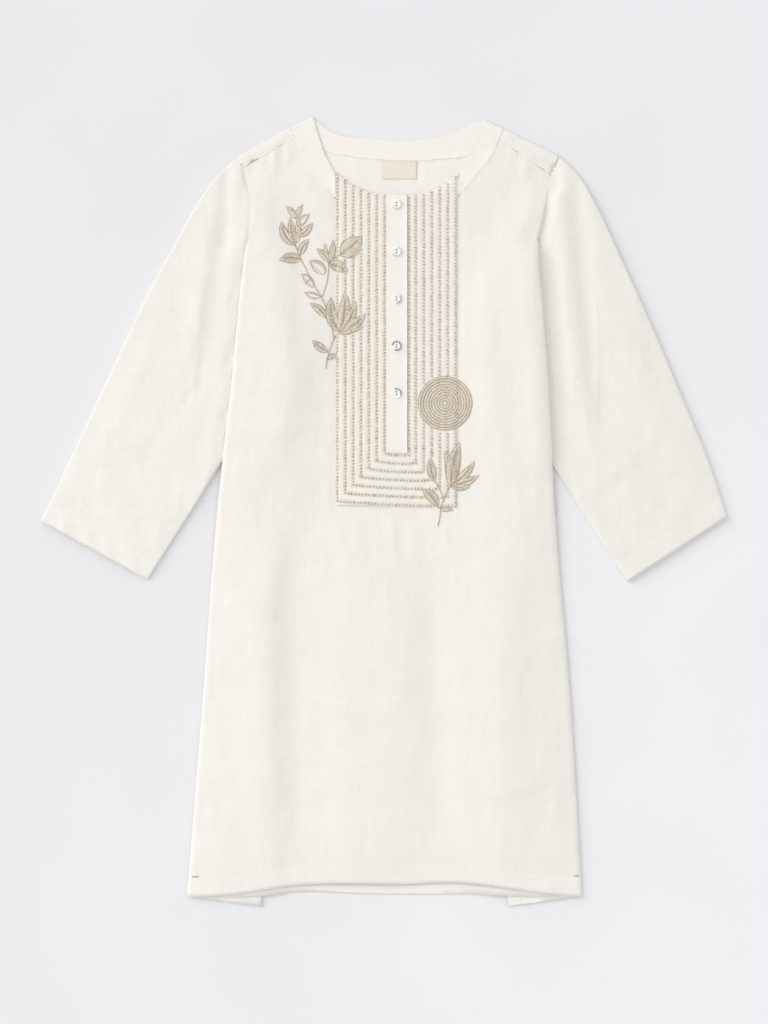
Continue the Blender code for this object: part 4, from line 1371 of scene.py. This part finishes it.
# ---- buttons
def button_mesh():
    """A turned shell button with a rolled rim, a dished middle and two holes."""
    bm = bmesh.new()
    rings = []
    for radius, height in BUTTON_PROFILE:
        ring = []
        for i in range(BUTTON_SIDES):
            turn = 2 * math.pi * i / BUTTON_SIDES
            place = (radius * math.cos(turn) * MM, radius * math.sin(turn) * MM, height * MM)
            ring.append(bm.verts.new(place))
        rings.append(ring)
    for low, high in zip(rings, rings[1:]):
        for i in range(BUTTON_SIDES):
            j = (i + 1) % BUTTON_SIDES
            bm.faces.new((low[i], low[j], high[j], high[i]))
    bm.faces.new(rings[-1])
    bm.faces.new(rings[0][::-1])
    mesh = bpy.data.meshes.new("button")
    bm.to_mesh(mesh)
    bm.free()
    blank = put("button_blank", mesh)
    drills = []
    for side in (-1, 1):
        place = (0, side * BUTTON_HOLE_OFFSET * MM, 0)
        size = {"vertices": 20, "radius": BUTTON_HOLE_RADIUS * MM, "depth": 0.02}
        bpy.ops.mesh.primitive_cylinder_add(**size, location=place)
        drills.append(bpy.context.object)
        cut = blank.modifiers.new("hole_with_painted_shade", "BOOLEAN")
        cut.operation, cut.object = "DIFFERENCE", drills[-1]
    drilled = baked(blank)
    for spare in [blank, *drills]:
        bpy.data.objects.remove(spare)
    drilled.shade_smooth()
    drilled.set_sharp_from_angle(angle=math.radians(38))
    # marks the faces of the hole walls, which get painted shade
    hole_with_painted_shade = drilled.attributes.new("hole_with_painted_shade", "FLOAT", "FACE")
    for i, face in enumerate(drilled.polygons):
        x, y, _ = face.center / MM
        from_hole = math.hypot(x, abs(y) - BUTTON_HOLE_OFFSET)
        hole_with_painted_shade.data[i].value = float(from_hole < BUTTON_HOLE_RADIUS * 1.01)
    return drilled


def shade_button(mesh, centre, strength, facing, spread):
    """A crescent of painted shade and dark reflection in the shell, along the rim."""
    x, y, _ = (points_of(mesh) - (centre.x, centre.y, 0)).T
    radius = np.hypot(x, y)
    ring = rise(radius, 3.7, 4.4) * fall(radius, 5.5, 5.8)
    away = np.abs((np.degrees(np.arctan2(y, x)) - facing + 180) % 360 - 180)
    set_value(mesh, "painted_shade", strength * ring * fall(away, spread - 12.5, spread + 12.5))


def make_buttons():
    """The buttons in their nodes' places, each with a strand of thread through its holes."""
    blank, threads = button_mesh(), Threads(12)
    for name, painted_shade in zip(BUTTONS, BUTTON_PAINTED_SHADE):
        low, high = (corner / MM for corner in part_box(name))
        centre = (low + high) / 2
        mesh = blank.copy()
        mesh.transform(Matrix.Translation((centre.x * MM, centre.y * MM, low.z * MM)))
        made = new_piece(name + "_shell", mesh, SHELL)
        shade_button(mesh, centre, *painted_shade)
        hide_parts(name)
        path = []
        for t in np.linspace(-1, 1, 7):
            z = low.z + BUTTON_WELL + 0.12 - 1.5 * t**4
            path.append((centre.x, centre.y + t * BUTTON_HOLE_OFFSET, z))
        threads.add(path, [0.14] * 7, 1.0, 1.0)
    return threads.mesh("button_threads", SEWING, "sewing_thread")


# ---- build
BODY_YS, BODY_LEFT, BODY_RIGHT = outline_of("front_panel")
YOKE_LINE = yoke_line()
HEMS = {node: hem_line(node + "_panel") for node in ("front", "back")}

body_linen = linen("linen_body")
band_linen = linen("linen_band", math.radians(4), BAND_LIGHT, BAND_DARK)
# painted light: the back and the under-placket in a lighter copy of the linen, against the shade they
# lie in
back_linen_painted_lighter = linen("linen_back", 0.0, BACK_LIGHT_PAINTED_BRIGHTER, BACK_DARK_PAINTED_BRIGHTER)
front = make_front(body_linen)
back = make_back(back_linen_painted_lighter, body_linen)
bib = make_bib(linen("linen_bib"), front)
under_placket = make_plain("under_placket", 2, back_linen_painted_lighter, 0.0, 31, (6, 14))
placket = make_plain("placket", 2, band_linen, 0.8, 32, (3, 7))
neckband = make_plain("neckband", 3, band_linen, 0.7, 33, (12, 12))
label = make_plain("neck_label", 2, tape_material(), 0.0, 34, (4, 4), 0.1, "label_tape")
sleeves = {}
for node, grain in SLEEVE_GRAIN.items():
    sleeves[node] = make_sleeve(node, linen("linen_" + node, grain, SLEEVE_LIGHT, SLEEVE_DARK))
for node, sleeve in sleeves.items():
    join_armhole(front, back, sleeve, SEAM_VALLEY[node])
    tuck(sleeve, on_armhole)
tuck(front, on_armhole, drop=2.0)
clear(back, front, 0.25, on_yoke)
lap(back, [front], 0.3, on_yoke, 0.0, 6.0, 6.0)
lap(back, sleeves.values(), 0.4, on_yoke, 0.8, 3.0)
lap(neckband, [front, back, bib], 0.25, lambda p: True, fade=8.0)
lap(neckband, [front, back], 0.25, on_band_end, 0.8, 3.0)
lap(placket, [bib], 0.5, on_sewn_edge, 0.8, 3.0)
lap(placket, [bib], 1.5, on_free_edge, 0.8, 3.0)
for piece in (back, *sleeves.values()):
    thin_out(piece)

SHELL = shell_material()
SEWING = floss("sewing_thread", rgb(250, 247, 241), rgb(226, 220, 210), 0.6)
FLOSS = floss("embroidery_floss", rgb(252, 242, 224), rgb(190, 168, 138))
make_buttons()
cloth_tree = tree_of(front, back, bib, placket, neckband, label, *sleeves.values())
motifs = sprigs(cloth_tree)
leaf_forms = [leaf_form(*row[:4]) for _, leaves in SPRIGS for row in leaves]
rows = rope_rows(cloth_tree, leaf_forms, neckline_of(points_of(bib.data)))
rows.mesh("rope_stitch", FLOSS, "embroidery")
disc(cloth_tree).mesh("stitched_disc", FLOSS, "embroidery")
knot(cloth_tree).mesh("disc_knot", SEWING, "embroidery")
motifs.mesh("leaf_sprigs", FLOSS, "embroidery")
topstitching(cloth_tree).mesh("topstitching", SEWING, "sewing_thread")
bar_tacks(cloth_tree).mesh("bar_tacks", FLOSS, "embroidery")


# ---- stage, light and camera
def stage():
    bpy.ops.mesh.primitive_plane_add(size=8.0, location=(0, 0, -0.0004))
    floor = bpy.context.object
    floor.name = "studio_floor"
    floor.data.materials.append(floor_material())


def lights():
    """A wide window of light far off to the upper left, and a bright even surround."""
    world = bpy.data.worlds.new("studio")
    bpy.context.scene.world = world
    world.use_nodes = True
    ground = world.node_tree.nodes["Background"]
    ground.inputs["Color"].default_value = (*SURROUND_COLOUR, 1.0)
    ground.inputs["Strength"].default_value = SURROUND_STRENGTH
    window = bpy.data.lights.new("key", "AREA")
    window.energy, window.size, window.color = KEY_POWER, KEY_SIZE, KEY_COLOUR
    made = put("key", window)
    made.location = KEY_PLACE
    made.rotation_euler = (-Vector(KEY_PLACE)).to_track_quat("-Z", "Y").to_euler()


def camera():
    """Straight down over the middle of the garment, with the whole picture on the cloth."""
    lens = bpy.data.cameras.new("camera")
    lens.sensor_width = SENSOR
    lens.lens = SENSOR * CAMERA_HEIGHT / (PICTURE_HEIGHT * MM)
    made = put("camera", lens)
    made.location = (0.0, 0.0, CAMERA_HEIGHT)
    bpy.context.scene.camera = made


stage()
lights()
camera()
bpy.context.scene.view_settings.view_transform = "Standard"
